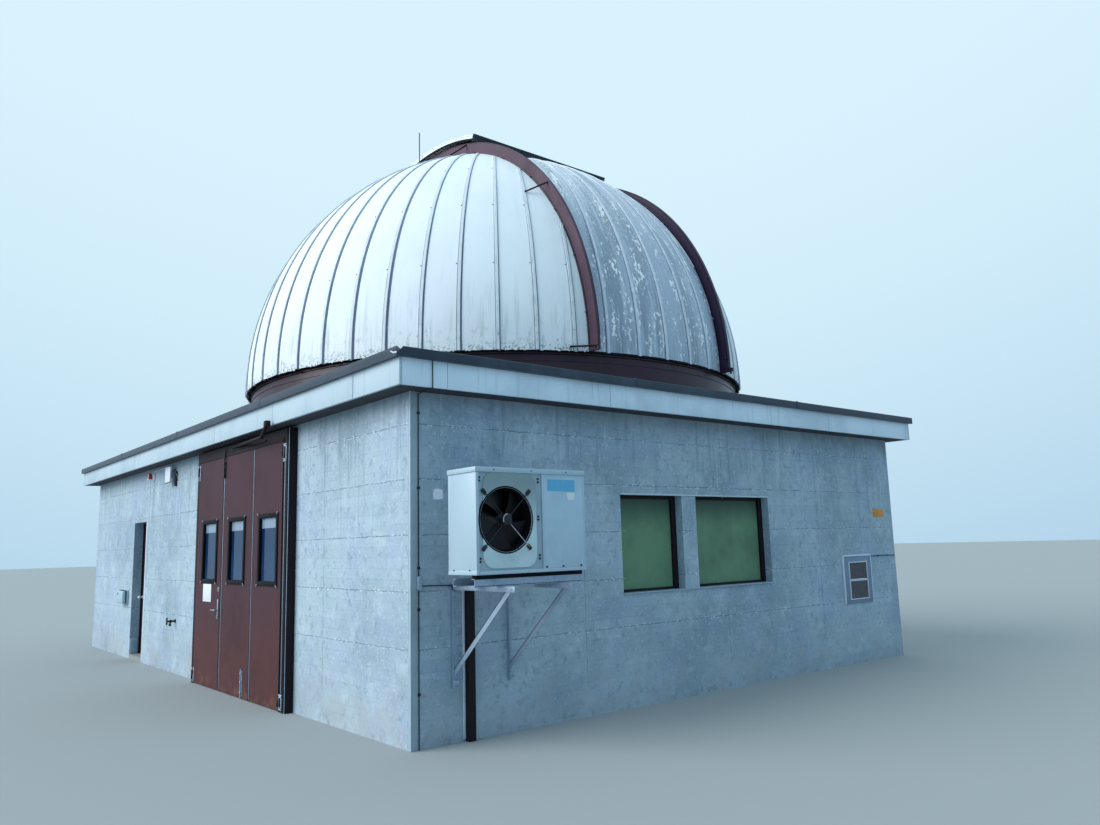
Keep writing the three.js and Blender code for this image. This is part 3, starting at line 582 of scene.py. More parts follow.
class Form:
    """Closed shapes gathered into one mesh, in metres in the shared frame."""

    crease = radians(32)
    merge_distance = 1e-6
    ring_steps = 208

    def __init__(self) -> None:
        """Starts an empty mesh."""
        self.bm = bmesh.new()

    def box(self, low: Point, high: Point, bevel: float = 0.0, twist: Matrix | None = None) -> None:
        """Adds a box between two corners.

        Args:
            low: The corner with the smallest coordinates.
            high: The corner with the largest coordinates.
            bevel: How far its edges are rounded.
            twist: A rotation about the box's own middle.
        """
        made = bmesh.ops.create_cube(self.bm, size=1.0)["verts"]
        spans = [b - a for a, b in zip(low, high)]
        middle = [(a + b) / 2 for a, b in zip(low, high)]
        bmesh.ops.scale(self.bm, vec=spans, verts=made)
        if bevel:
            edges = list({edge for vert in made for edge in vert.link_edges})
            rounded = bmesh.ops.bevel(
                self.bm, geom=edges, offset=bevel, offset_type="OFFSET", segments=2, profile=0.5,
                affect="EDGES", clamp_overlap=True, material=-1)
            made = list({vert for face in rounded["faces"] for vert in face.verts})
        if twist:
            bmesh.ops.rotate(self.bm, verts=made, cent=(0, 0, 0), matrix=twist)
        bmesh.ops.translate(self.bm, vec=middle, verts=made)

    def rod(
        self, start: Point, end: Point, radius: float, sides: int = 12, tip: float | None = None,
    ) -> None:
        """Adds a round bar between two points.

        Args:
            start: The middle of its first end.
            end: The middle of its other end.
            radius: Its radius.
            sides: How many sides its section has.
            tip: Its radius at the other end, where it tapers.
        """
        along = Vector(end) - Vector(start)
        far = radius if tip is None else tip
        made = bmesh.ops.create_cone(
            self.bm, cap_ends=True, segments=sides, radius1=radius, radius2=far,
            depth=along.length)["verts"]
        turned = along.to_track_quat("Z", "Y").to_matrix()
        bmesh.ops.rotate(self.bm, verts=made, cent=(0, 0, 0), matrix=turned)
        bmesh.ops.translate(self.bm, vec=(Vector(start) + Vector(end)) / 2, verts=made)

    def wire(self, points: Sequence[Point], radius: float, sides: int = 8) -> None:
        """Adds a wire from point to point, with a ball in each bend."""
        for start, end in zip(points, points[1:]):
            self.rod(start, end, radius, sides)
        for bend in points[1:-1]:
            self.ball(bend, radius)

    def ball(self, centre: Point, radius: float) -> None:
        """Adds a small ball."""
        made = bmesh.ops.create_icosphere(self.bm, subdivisions=2, radius=radius)["verts"]
        bmesh.ops.translate(self.bm, vec=centre, verts=made)

    def push(self, faces: list[bmesh.types.BMFace], shift: Point) -> None:
        """Pushes flat faces along shift into a solid."""
        grown = bmesh.ops.extrude_face_region(self.bm, geom=faces)["geom"]
        moved = [item for item in grown if isinstance(item, bmesh.types.BMVert)]
        bmesh.ops.translate(self.bm, vec=shift, verts=moved)

    def slab(self, outline: Sequence[Point], shift: Point) -> None:
        """Adds a flat outline pushed along shift into a solid."""
        self.push([self.bm.faces.new([self.bm.verts.new(point) for point in outline])], shift)

    def sweep(
        self, outline: Sequence[Point], centre: Point, axis: Point, turn: float, steps: int,
    ) -> None:
        """Adds a flat outline turned round an axis into a solid, closed on itself after a full turn.

        Args:
            outline: The outline's corners.
            centre: A point on the axis.
            axis: The axis.
            turn: How far it turns, in degrees.
            steps: How many facets that takes.
        """
        face = self.bm.faces.new([self.bm.verts.new(point) for point in outline])
        geometry = list(face.verts) + list(face.edges) + [face]
        full = abs(turn) >= 360
        if full:
            geometry = list(face.verts) + list(face.edges)
            bmesh.ops.delete(self.bm, geom=[face], context="FACES_ONLY")
        bmesh.ops.spin(
            self.bm, geom=geometry, cent=centre, axis=axis, angle=radians(turn), steps=steps,
            use_merge=full)

    def ring(self, radii: Point, heights: Point, steps: int = ring_steps) -> None:
        """Adds a level ring round the dome's axis."""
        (r0, r1), (z0, z1) = radii, heights
        outline = [(r0, 0, z0), (r1, 0, z0), (r1, 0, z1), (r0, 0, z1)]
        self.sweep(outline, (0, 0, 0), (0, 0, 1), 360, steps)

    def cut(self, point: Point, outward: Point, close: bool = False) -> None:
        """Cuts away what lies beyond a plane, and closes the shapes there on request."""
        everything = self.bm.verts[:] + self.bm.edges[:] + self.bm.faces[:]
        bmesh.ops.bisect_plane(
            self.bm, geom=everything, plane_co=point, plane_no=outward, clear_outer=True)
        if close:
            bmesh.ops.holes_fill(self.bm, edges=[edge for edge in self.bm.edges if edge.is_boundary])

    def piece(
        self, name: str, finish: Finish, slot: str, body: str = "building",
        stands_for: Sequence[str] = (), hollow_from: Point | None = None, sheet: float = 0.0,
    ) -> bpy.types.Object:
        """Closes the mesh into a named piece that rides on a body.

        Args:
            name: The piece's name.
            finish: Its finish.
            slot: The record's material slot; not used.
            body: The body of the frame that it moves with.
            stands_for: The nodes of the frame that it replaces.
            hollow_from: For an open skin, a point that all its faces look away from.
            sheet: For an open skin, the thickness that it gets inwards.

        Returns:
            The new object.
        """
        bmesh.ops.remove_doubles(self.bm, verts=self.bm.verts, dist=self.merge_distance)
        bmesh.ops.recalc_face_normals(self.bm, faces=self.bm.faces)
        if hollow_from is not None:
            middle = Vector(hollow_from)
            outward = sum(face.normal.dot(face.calc_center_median() - middle) for face in self.bm.faces)
            if outward < 0:
                bmesh.ops.reverse_faces(self.bm, faces=self.bm.faces)
        for face in self.bm.faces:
            face.smooth = True
        for edge in self.bm.edges:
            edge.smooth = edge.calc_face_angle(pi) < self.crease
        mesh = bpy.data.meshes.new(name)
        self.bm.to_mesh(mesh)
        self.bm.free()
        made = bpy.data.objects.new(name, mesh)
        bpy.context.scene.collection.objects.link(made)
        mesh.materials.append(finish.material())
        if sheet:
            wall = made.modifiers.new("sheet", "SOLIDIFY")
            wall.thickness = sheet
            wall.offset = -1
        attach(made, body)
        if stands_for:
            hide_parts(*stands_for)
        LOG.info("%s: %d faces, on %s", name, len(mesh.polygons), body)
        return made


def dress(finish: Finish, *nodes: str) -> None:
    """Gives nodes of the frame a finish of their own."""
    for name in nodes:
        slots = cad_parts[name].data.materials
        slots.clear()
        slots.append(finish.material())
        LOG.info("%s: %s", name, finish.name)


# The building


@dataclass
class WallFace:
    """One side of the building, seen from outside: where it starts and which way it runs."""

    name: str
    start: Span
    along: Span
    length: float
    outward: Span
    upright_joints: tuple[float, ...]
    openings: tuple[Field, ...] = ()

    def clear(self, place: float, height: float) -> bool:
        """Says whether no opening or fitting lies at this place along the wall and height."""
        return not any(a < place < b and low < height < high for a, b, low, high in self.openings)

    def point(self, place: float, out: float, height: float) -> Vector:
        """A point so far along the wall, out of it and up it."""
        x = self.start[0] + self.along[0] * place + self.outward[0] * out
        y = self.start[1] + self.along[1] * place + self.outward[1] * out
        return Vector((x, y, height))


@dataclass
class ConcreteShell:
    """The board-marked walls: what the formwork and the weather left on them."""

    lifts: int = 6
    soffit: float = 3.13
    # The slurry's fins along the lifts, with the way to the next one as a share of their length.
    fin_length: Span = (0.05, 0.26)
    fin_proud: Span = (0.0012, 0.0035)
    fin_height: Span = (0.003, 0.009)
    fin_pitch: Span = (1.2, 2.8)
    fin_wander: float = 0.006
    fin_margins: Span = (0.04, 0.3)
    # The dirt in the upright joints between form panels, broken into runs.
    joint_foot: float = 0.3
    joint_run: Span = (0.12, 0.5)
    joint_width: Span = (0.0025, 0.005)
    joint_gap: Span = (0.0, 0.09)
    joint_proud: float = 0.0006
    joint_wander: float = 0.0015
    # How far these marks reach into the wall.
    sunk: float = 0.003
    # How far along each side, seen from outside, its upright joints stand.
    front_joints: tuple[float, ...] = (1.63, 3.69, 5.31, 10.45)
    right_joints: tuple[float, ...] = (2.04, 4.3, 6.25, 7.3)
    back_joints: tuple[float, ...] = (1.9, 3.95, 6.0, 8.05, 10.1)
    left_joints: tuple[float, ...] = (2.05, 4.1, 6.15)
    # What the marks keep clear of: the two doors in X, and the windows, vent and bracket in Y.
    front_clear: tuple[Field, ...] = ((-1.43, 1.82, 0, 3.2), (-5.2, -4.3, 0, 2.3))
    right_clear: tuple[Field, ...] = (
        (-1.5, 1.1, 1.15, 2.26), (2.5, 3.3, 0.8, 1.5), (-3.69, -3.44, 0, 1.36))

    def faces(self) -> list[WallFace]:
        """The four sides, with their openings as ranges along the side and ranges of height."""
        near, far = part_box("back_wall")
        left, right, depth = near.x, far.x, far.y
        width, deep = right - left, 2 * depth
        doors = tuple((a - left, b - left, low, high) for a, b, low, high in self.front_clear)
        fittings = tuple((a + depth, b + depth, low, high) for a, b, low, high in self.right_clear)
        return [
            WallFace("front", (left, -depth), (1, 0), width, (0, -1), self.front_joints, doors),
            WallFace("right", (right, -depth), (0, 1), deep, (1, 0), self.right_joints, fittings),
            WallFace("back", (right, depth), (-1, 0), width, (0, 1), self.back_joints),
            WallFace("left", (left, depth), (0, -1), deep, (-1, 0), self.left_joints),
        ]

    def add_strip(self, form: Form, face: WallFace, place: Point, out: float, height: Point) -> None:
        """Adds a strip that is sunk into a wall, unless something else is there.

        Args:
            form: The form that it joins.
            face: The side of the building.
            place: The two places along the side that it lies between.
            out: How far it stands out.
            height: The two heights that it lies between.
        """
        if face.clear(sum(place) / 2, sum(height) / 2):
            ends = face.point(place[0], -self.sunk, height[0]), face.point(place[1], out, height[1])
            form.box([min(pair) for pair in zip(*ends)], [max(pair) for pair in zip(*ends)])

    def build_fins(self, face: WallFace, draw: random.Random) -> None:
        """Adds the thin fins that the slurry left at the lifts of the formwork."""
        form = Form()
        for lift in range(1, self.lifts):
            height = LIFT_BASE + lift * LIFT_PITCH
            place = self.fin_margins[0]
            while place < face.length - self.fin_margins[1]:
                run = draw.uniform(*self.fin_length)
                z = height + draw.uniform(-self.fin_wander, self.fin_wander)
                proud = draw.uniform(*self.fin_proud)
                top = z + draw.uniform(*self.fin_height)
                self.add_strip(form, face, (place, place + run), proud, (z, top))
                place += run * draw.uniform(*self.fin_pitch)
        form.piece(f"formwork_fins_{face.name}", CONCRETE, "concrete")

    def build_joints(self, face: WallFace, draw: random.Random) -> None:
        """Adds the dark ragged lines of the upright joints between form panels."""
        form = Form()
        for joint in face.upright_joints:
            height = self.joint_foot
            while height < self.soffit - 0.1:
                top = min(height + draw.uniform(*self.joint_run), self.soffit - 0.01)
                place = joint + draw.uniform(-self.joint_wander, self.joint_wander)
                across = place, place + draw.uniform(*self.joint_width)
                self.add_strip(form, face, across, self.joint_proud, (height, top))
                height = top + draw.uniform(*self.joint_gap)
        form.piece(f"formwork_joints_{face.name}", JOINT_DIRT, "concrete")

    def build_corner(self) -> None:
        """Adds the smooth band and the chamfer of the corner by the outdoor unit."""
        low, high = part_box("front_wall_right")
        form = Form()
        form.box((high.x - 0.03, low.y - 0.006, 0), (high.x + 0.007, low.y + 0.072, self.soffit), 0.002)
        form.piece("corner_band", SMOOTH_CONCRETE, "concrete")
        form = Form()
        form.box((high.x - 0.001, low.y - 0.008, 0),
                 (high.x + 0.009, low.y - 0.001, self.soffit), 0.002)
        form.piece("corner_chamfer", PALE_MORTAR, "concrete")

    def build_drip_edge(self) -> None:
        """Adds the pale edge under the window lintel and the sill strip below the green panels."""
        low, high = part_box("right_wall_lintel")
        form = Form()
        form.box((high.x - 0.05, low.y, low.z - 0.003), (high.x + 0.008, high.y, low.z + 0.012), 0.003)
        form.piece("lintel_edge", PALE_MORTAR, "concrete")
        low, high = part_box("right_wall_sill")
        form = Form()
        form.box((high.x - 0.13, low.y, high.z - 0.002), (high.x + 0.02, high.y, high.z + 0.012), 0.003)
        form.piece("window_sill", ZINC, "galvanised")

    def build_panel_frames(self) -> None:
        """Adds the dark frames of the two green window panels, wider on their far side where they paint
        the reveal's shade, in the darkened brown.
        """
        frames = Form()
        for node in ("window_panel_near", "window_panel_far"):
            low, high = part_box(node)
            for y, half in ((low.y + 0.02, 0.02), (high.y - 0.035, 0.035)):
                frames.box((high.x - 0.01, y - half, low.z), (high.x + 0.03, y + half, high.z), 0.002)
            for z in (low.z + 0.02, high.z - 0.02):
                frames.box((high.x - 0.01, low.y + 0.04, z - 0.02),
                           (high.x + 0.026, high.y - 0.07, z + 0.02), 0.002)
        frames.piece("window_frames", BROWN_IN_PAINTED_SHADE, "maroon_paint")

    def build(self) -> None:
        """Builds and dresses the walls, the floor and the window panels."""
        dress(CONCRETE, "front_wall_left", "front_wall_middle", "front_wall_right",
              "side_door_lintel", "main_door_lintel", "right_wall_near", "right_wall_far",
              "right_wall_sill", "right_wall_lintel", "window_pillar", "back_wall", "left_wall")
        dress(TROWELLED_FLOOR, "floor_slab")
        dress(SAGE_PAINT, "window_panel_near", "window_panel_far")
        draw = random.Random(11)
        for face in self.faces():
            self.build_fins(face, draw)
            self.build_joints(face, draw)
        self.build_corner()
        self.build_drip_edge()
        self.build_panel_frames()


@dataclass
class RoofEdge:
    """Fascia boards and sheet-metal coping round the flat roof."""

    board: float = 1.98
    front_joint: float = 3.67
    side_board: float = 2.02
    side_joint: float = -3.85
    gap: float = 0.007
    shortest_board: float = 0.05
    unevenness: float = 0.003
    lengths: float = 3.0
    strap: float = 0.05
    strap_reach: float = 0.16
    sheet_gap: float = 0.001
    lip: float = 0.04
    lip_height: float = 0.025
    open_corner: Place = (4.597, -4.389, 3.388)
    front_reach: float = 0.305
    torn_edge: tuple[Span, ...] = (
        (4.486, 3.434), (4.535, 3.412), (4.592, 3.406), (4.592, 3.394), (4.53, 3.399), (4.48, 3.424))

    def build_boards(
        self, node: str, axis: int, joint: float, pitch: float, draw: random.Random,
    ) -> None:
        """Replaces one fascia with separate boards.

        Args:
            node: The fascia's node.
            axis: 0 where it runs along X, 1 along Y.
            joint: One joint's place along it.
            pitch: The distance from joint to joint.
            draw: The source of the boards' slight unevenness.
        """
        low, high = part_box(node)
        form = Form()
        across = 1 - axis
        place = joint - pitch * ceil((joint - low[axis]) / pitch)
        while place < high[axis]:
            start, end = max(place, low[axis]), min(place + pitch, high[axis])
            place += pitch
            if end - start < self.shortest_board:
                continue
            a, b = low.copy(), high.copy()
            a[axis] = start + (self.gap / 2 if start > low[axis] else 0)
            b[axis] = end - (self.gap / 2 if end < high[axis] else 0)
            push = draw.uniform(0, self.unevenness)
            if low[across] < 0:
                a[across] -= push
            else:
                b[across] += push
            form.box(a, b, 0.003)
        finish = FASCIA_PAINTED_LIGHT if node == "fascia_right" else FASCIA
        form.piece(f"{node}_boards", finish, "fascia", stands_for=[node])

    def profile(
        self, inner: float, outer: float, outward: float, low: float, high: float,
    ) -> list[Span]:
        """Draws the coping's bent section.

        Args:
            inner: Its inner side's place across the edge.
            outer: Its outer side's place.
            outward: 1 or -1, the way from the inner to the outer side.
            low: Its lowest height.
            high: Its highest height.

        Returns:
            The corners, as pairs of a place across the edge and a height.
        """
        lip = outer - outward * self.lip
        body = low + self.lip_height
        return [
            (inner, body), (inner, high - 0.012), (outer - outward * 0.012, high - 0.002),
            (outer - outward * 0.003, high - 0.006), (outer, high - 0.014), (outer, low),
            (lip, low), (lip, body),
        ]

    def build_coping(
        self, node: str, axis: int, reach: float = 0.0, slant: Point | None = None,
    ) -> None:
        """Replaces one coping with overlapping lengths of bent sheet, with straps over the joints.

        Args:
            node: The coping's node.
            axis: 0 where it runs along X, 1 along Y.
            reach: How much further than the node it runs, up to the open corner.
            slant: Which way its slanting end at the open corner looks.
        """
        low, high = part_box(node)
        high[axis] += reach
        across = 1 - axis
        outward = -1.0 if low[across] < 0 else 1.0
        outer = low[across] if outward < 0 else high[across]
        inner = high[across] if outward < 0 else low[across]
        section = self.profile(inner, outer, outward, low.z, high.z)
        count = max(1, round((high[axis] - low[axis]) / self.lengths))
        span = (high[axis] - low[axis]) / count
        form = Form()
        for i in range(count):
            start = low[axis] + i * span
            outline = [(start, a, z) if axis == 0 else (a, start, z) for a, z in section]
            run = span - (self.sheet_gap if i < count - 1 else 0)
            form.slab(outline, (run, 0, 0) if axis == 0 else (0, run, 0))
            if i:
                a, b = [0.0, 0.0, low.z + 0.004], [0.0, 0.0, high.z + 0.001]
                a[axis], b[axis] = start - self.strap / 2, start + self.strap / 2
                ends = outer + outward * 0.002, outer - outward * self.strap_reach
                a[across], b[across] = sorted(ends)
                form.box(a, b, 0.002)
        if slant:
            form.cut(self.open_corner, slant, True)
        form.piece(f"{node}_sheet", COPING, "coping", stands_for=[node])

    def build_open_joint(self) -> None:
        """Adds the torn bright edge of the front sheet at the open corner."""
        form = Form()
        y = self.open_corner[1] - 0.001
        form.slab([(x, y, z) for x, z in self.torn_edge], (0, -0.003, 0))
        form.piece("torn_coping_edge", PALE_MORTAR, "coping")

    def build(self) -> None:
        """Builds and dresses the roof's slab and edge."""
        dress(SOFFIT_SHADE_AND_ROOF_COATING, "roof_slab")
        draw = random.Random(5)
        for side in ("front", "back"):
            self.build_boards(f"fascia_{side}", 0, self.front_joint, self.board, draw)
        for side in ("left", "right"):
            self.build_boards(f"fascia_{side}", 1, self.side_joint, self.side_board, draw)
        self.build_coping("coping_front", 0, self.front_reach, (1, 1, 0.227))
        self.build_coping("coping_right", 1, 0.0, (-1, -1, 0.86))
        self.build_coping("coping_back", 0)
        self.build_coping("coping_left", 1)
        self.build_open_joint()


@dataclass
class Entrance:
    """The folding entrance: glazing, handles, hinges and bolts on its three leaves."""

    face: float = -4.187
    gasket_out: float = 0.013
    gasket_in: float = 0.040
    gasket_proud: float = 0.016
    leaves: tuple[tuple[str, str], ...] = (
        ("left", "main_door"), ("middle", "building"), ("right", "building"))
    hinge_heights: tuple[Span, ...] = ((2.723, 2.928), (0.025, 0.191))
    strap_heights: tuple[Span, ...] = ((2.719, 2.932), (0.02, 0.207))
    # Each seal: its two sides in X, its top and how far it stands out.
    seals: tuple[Field, ...] = (
        (0.712, 0.730, 2.95, 0.004), (1.636, 1.652, 3.0, 0.008), (1.742, 1.790, 3.1, 0.012))
    # Pale strips painted as highlights on the leaves' and jamb's edges: their two sides in X and their
    # two heights.
    highlight_strips: tuple[Field, ...] = (
        (-0.308, -0.297, 0.03, 2.68), (0.736, 0.746, 0.03, 2.95), (1.692, 1.702, 0.2, 2.72),
        (1.792, 1.801, 0.0, 3.10))
    bends: tuple[Place, ...] = (
        (0.02, 0.013, 3.055), (0.90, 0.113, 3.035), (1.42, 0.178, 3.02), (1.60, 0.213, 3.08),
        (1.69, 0.218, 3.14))

    def build_gaskets(self) -> None:
        """Adds a rubber gasket round each pane and the bright clips at its corners."""
        band = self.gasket_out + self.gasket_in
        front, back = self.face - self.gasket_proud, self.face + 0.02
        for name, body in self.leaves:
            low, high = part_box(f"main_door_glass_{name}")
            x0, x1 = low.x - self.gasket_out, high.x + self.gasket_out
            z0, z1 = low.z - self.gasket_out, high.z + self.gasket_out
            rubber, clips = Form(), Form()
            for z in (z0, z1 - band):
                rubber.box((x0, front, z), (x1, back, z + band), 0.011)
            for x in (x0, x1 - band):
                rubber.box((x + 0.001, front + 0.001, z0 + 0.02),
                           (x + band - 0.001, back, z1 - 0.02), 0.006)
            for x, sx in ((x0, -1), (x1, 1)):
                for z, sz in ((z0, -1), (z1, 1)):
                    turn = Matrix.Rotation(radians(-45 * sx * sz), 3, "Y")
                    middle = Vector((x - sx * 0.004, front + 0.001, z - sz * 0.004))
                    half = Vector((0.019, 0.006, 0.007))
                    clips.box(middle - half, middle + half, 0.002, turn)
            rubber.piece(f"pane_gasket_{name}", RUBBER, "black_wire", body)
            clips.piece(f"gasket_clips_{name}", STAINLESS, "galvanised", body)

    def build_handles(self) -> None:
        """Adds the lever with its plate and lock, and the bare notice plate above them."""
        y = self.face
        form = Form()
        form.box((-0.436, y - 0.009, 0.887), (-0.396, y + 0.001, 1.136), 0.004)
        form.rod((-0.416, y - 0.004, 0.998), (-0.416, y - 0.052, 0.998), 0.010)
        form.rod((-0.410, y - 0.050, 0.998), (-0.536, y - 0.050, 0.996), 0.010, 12, 0.008)
        form.ball((-0.413, y - 0.050, 0.998), 0.011)
        form.rod((-0.416, y - 0.002, 0.918), (-0.416, y - 0.016, 0.918), 0.012)
        form.box((-0.414, y - 0.012, 1.228), (-0.368, y + 0.001, 1.288), 0.006)
        form.rod((-0.391, y - 0.010, 1.264), (-0.391, y - 0.020, 1.264), 0.013, 20)
        form.piece("entrance_lever", STAINLESS, "galvanised", "main_door")
        form = Form()
        form.box((-1.015, y - 0.006, 1.09), (-0.69, y + 0.001, 1.32), 0.002)
        form.piece("bare_notice_plate", WHITE_LABEL, "white_plastic", "main_door")

    def build_hinge_plates(self) -> None:
        """Adds the grey hinge plates with their dark knuckles, the shoot bolt and the drop bolt."""
        y = self.face
        fixed, moving, dark = Form(), Form(), Form()
        for z0, z1 in self.hinge_heights:
            fixed.box((1.646, y - 0.012, z0), (1.754, y + 0.001, z1), 0.004)
            dark.box((1.682, y - 0.026, z0 + 0.035), (1.718, y - 0.008, z1 - 0.035), 0.004)
            for x in (1.662, 1.738):
                for z in (z0 + 0.02, z1 - 0.02):
                    dark.rod((x, y - 0.010, z), (x, y - 0.016, z), 0.007, 10)
        for z0, z1 in self.strap_heights:
            fixed.box((-1.408, y - 0.010, z0), (-1.366, y + 0.001, z1), 0.003)
            moving.box((-1.333, y - 0.004, z0), (-1.300, y + 0.001, z1), 0.002)
        dark.rod((-0.286, y - 0.016, 2.68), (-0.286, y - 0.016, 3.048), 0.010)
        dark.box((-0.314, y - 0.014, 2.687), (-0.258, y + 0.001, 2.90), 0.004)
        for z in (2.70, 2.78, 2.86):
            dark.box((-0.306, y - 0.030, z), (-0.266, y - 0.010, z + 0.026), 0.004)
        fixed.box((0.478, y - 0.006, 0.03), (0.523, y + 0.001, 0.332), 0.002)
        fixed.rod((0.50, y - 0.013, 0.016), (0.50, y - 0.013, 0.35), 0.008)
        for z in (0.07, 0.19, 0.29):
            fixed.box((0.482, y - 0.022, z), (0.519, y - 0.002, z + 0.02), 0.003)
        fixed.piece("jamb_plates_and_drop_bolt", ZINC, "galvanised")
        moving.piece("leaf_hinge_plates", ZINC, "galvanised", "main_door")
        dark.piece("hinge_knuckles_and_shoot_bolt", BLACK_COAT, "black_wire")

    def build_strips(self) -> None:
        """Adds the seals, and pale strips between the leaves and at the right jamb as painted
        highlights on their edges.
        """
        y = self.face
        moving = Form()
        moving.box((-0.352, y - 0.004, 0.03), (-0.328, y + 0.001, 2.95), 0.0015)
        moving.piece("leaf_meeting_strip", BROWN_IN_PAINTED_SHADE, "door_paint", "main_door")
        seals = Form()
        for x0, x1, top, proud in self.seals:
            seals.box((x0, y - proud, 0.02), (x1, y + 0.001, top), 0.0015)
        seals.piece("leaf_and_jamb_seals", RUBBER, "black_wire")
        edges = Form()
        for x0, x1, z0, z1 in self.highlight_strips:
            edges.box((x0, y - 0.004, z0), (x1, y + 0.001, z1), 0.001)
        edges.piece("painted_highlight_strips", ZINC, "galvanised")

    def build_top_gear(self) -> None:
        """Adds the bent closing arm under the fascia and the guide rail along the door's head."""
        y = self.face
        form = Form()
        form.box((-0.05, y - 0.012, 3.012), (1.12, y + 0.001, 3.036), 0.003)
        bends = [(x, y - out, z) for x, out, z in self.bends]
        form.wire(bends[:3], 0.018)
        form.wire(bends[2:], 0.024)
        form.ball(bends[2], 0.026)
        form.box((1.655, y - 0.25, 3.105), (1.725, y - 0.19, 3.17), 0.008)
        form.rod((0.02, y + 0.001, 3.055), (0.02, y - 0.03, 3.055), 0.022)
        form.piece("closing_arm", BROWN_IN_PAINTED_SHADE, "door_paint")

    def build(self) -> None:
        """Builds and dresses the entrance."""
        dress(BROWN_IN_PAINTED_SHADE, "main_door_frame")
        for name, _ in self.leaves:
            dress(DOOR_PAINT, f"main_door_leaf_{name}")
            dress(WINDOW_GLASS, f"main_door_glass_{name}")
        self.build_gaskets()
        self.build_handles()
        self.build_hinge_plates()
        self.build_strips()
        self.build_top_gear()


@dataclass
class SideDoor:
    """The small door, set back between its reveals."""

    grille: Span = (0.03, 0.33)
    slats: int = 9
    slat_lean: float = 30.0
    knob: Place = (-5.032, -3.987, 1.010)
    knob_radius: float = 0.0295

    def build(self) -> None:
        """Builds the reveal's louvred foot and white arris and the knob, and dresses the door."""
        dress(BROWN_IN_PAINTED_SHADE, "side_door_frame", "side_door_leaf")
        x, (z0, z1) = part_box("front_wall_left")[1].x, self.grille
        y0, y1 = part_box("front_wall_left")[0].y + 0.005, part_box("side_door_frame")[0].y - 0.01
        form = Form()
        form.box((x - 0.002, y0, z0), (x + 0.006, y1, z1), 0.002)
        pitch = (z1 - z0 - 0.03) / self.slats
        turn = Matrix.Rotation(radians(self.slat_lean), 3, "Y")
        for i in range(self.slats):
            z = z0 + 0.02 + i * pitch
            form.box((x + 0.004, y0 + 0.008, z), (x + 0.016, y1 - 0.008, z + 0.005), 0.0, turn)
        form.piece("reveal_louvre", ENAMEL_WITH_PAINTED_SKY, "enamel")
        arris = Form()
        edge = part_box("front_wall_middle")[0]
        arris.box((edge.x - 0.002, edge.y - 0.004, 0.03), (edge.x + 0.035, edge.y + 0.02, 2.26), 0.003)
        arris.piece("reveal_arris", WHITE_PLASTIC, "concrete")
        knob = Form()
        kx, ky, kz = self.knob
        knob.ball(self.knob, self.knob_radius)
        knob.rod((kx, ky + 0.052, kz), (kx, ky + 0.044, kz), 0.026, 24)
        knob.rod((kx, ky + 0.045, kz), (kx, ky + 0.015, kz), 0.013, 16)
        knob.piece("side_door_knob", WHITE_PLASTIC, "white_plastic", "side_door")


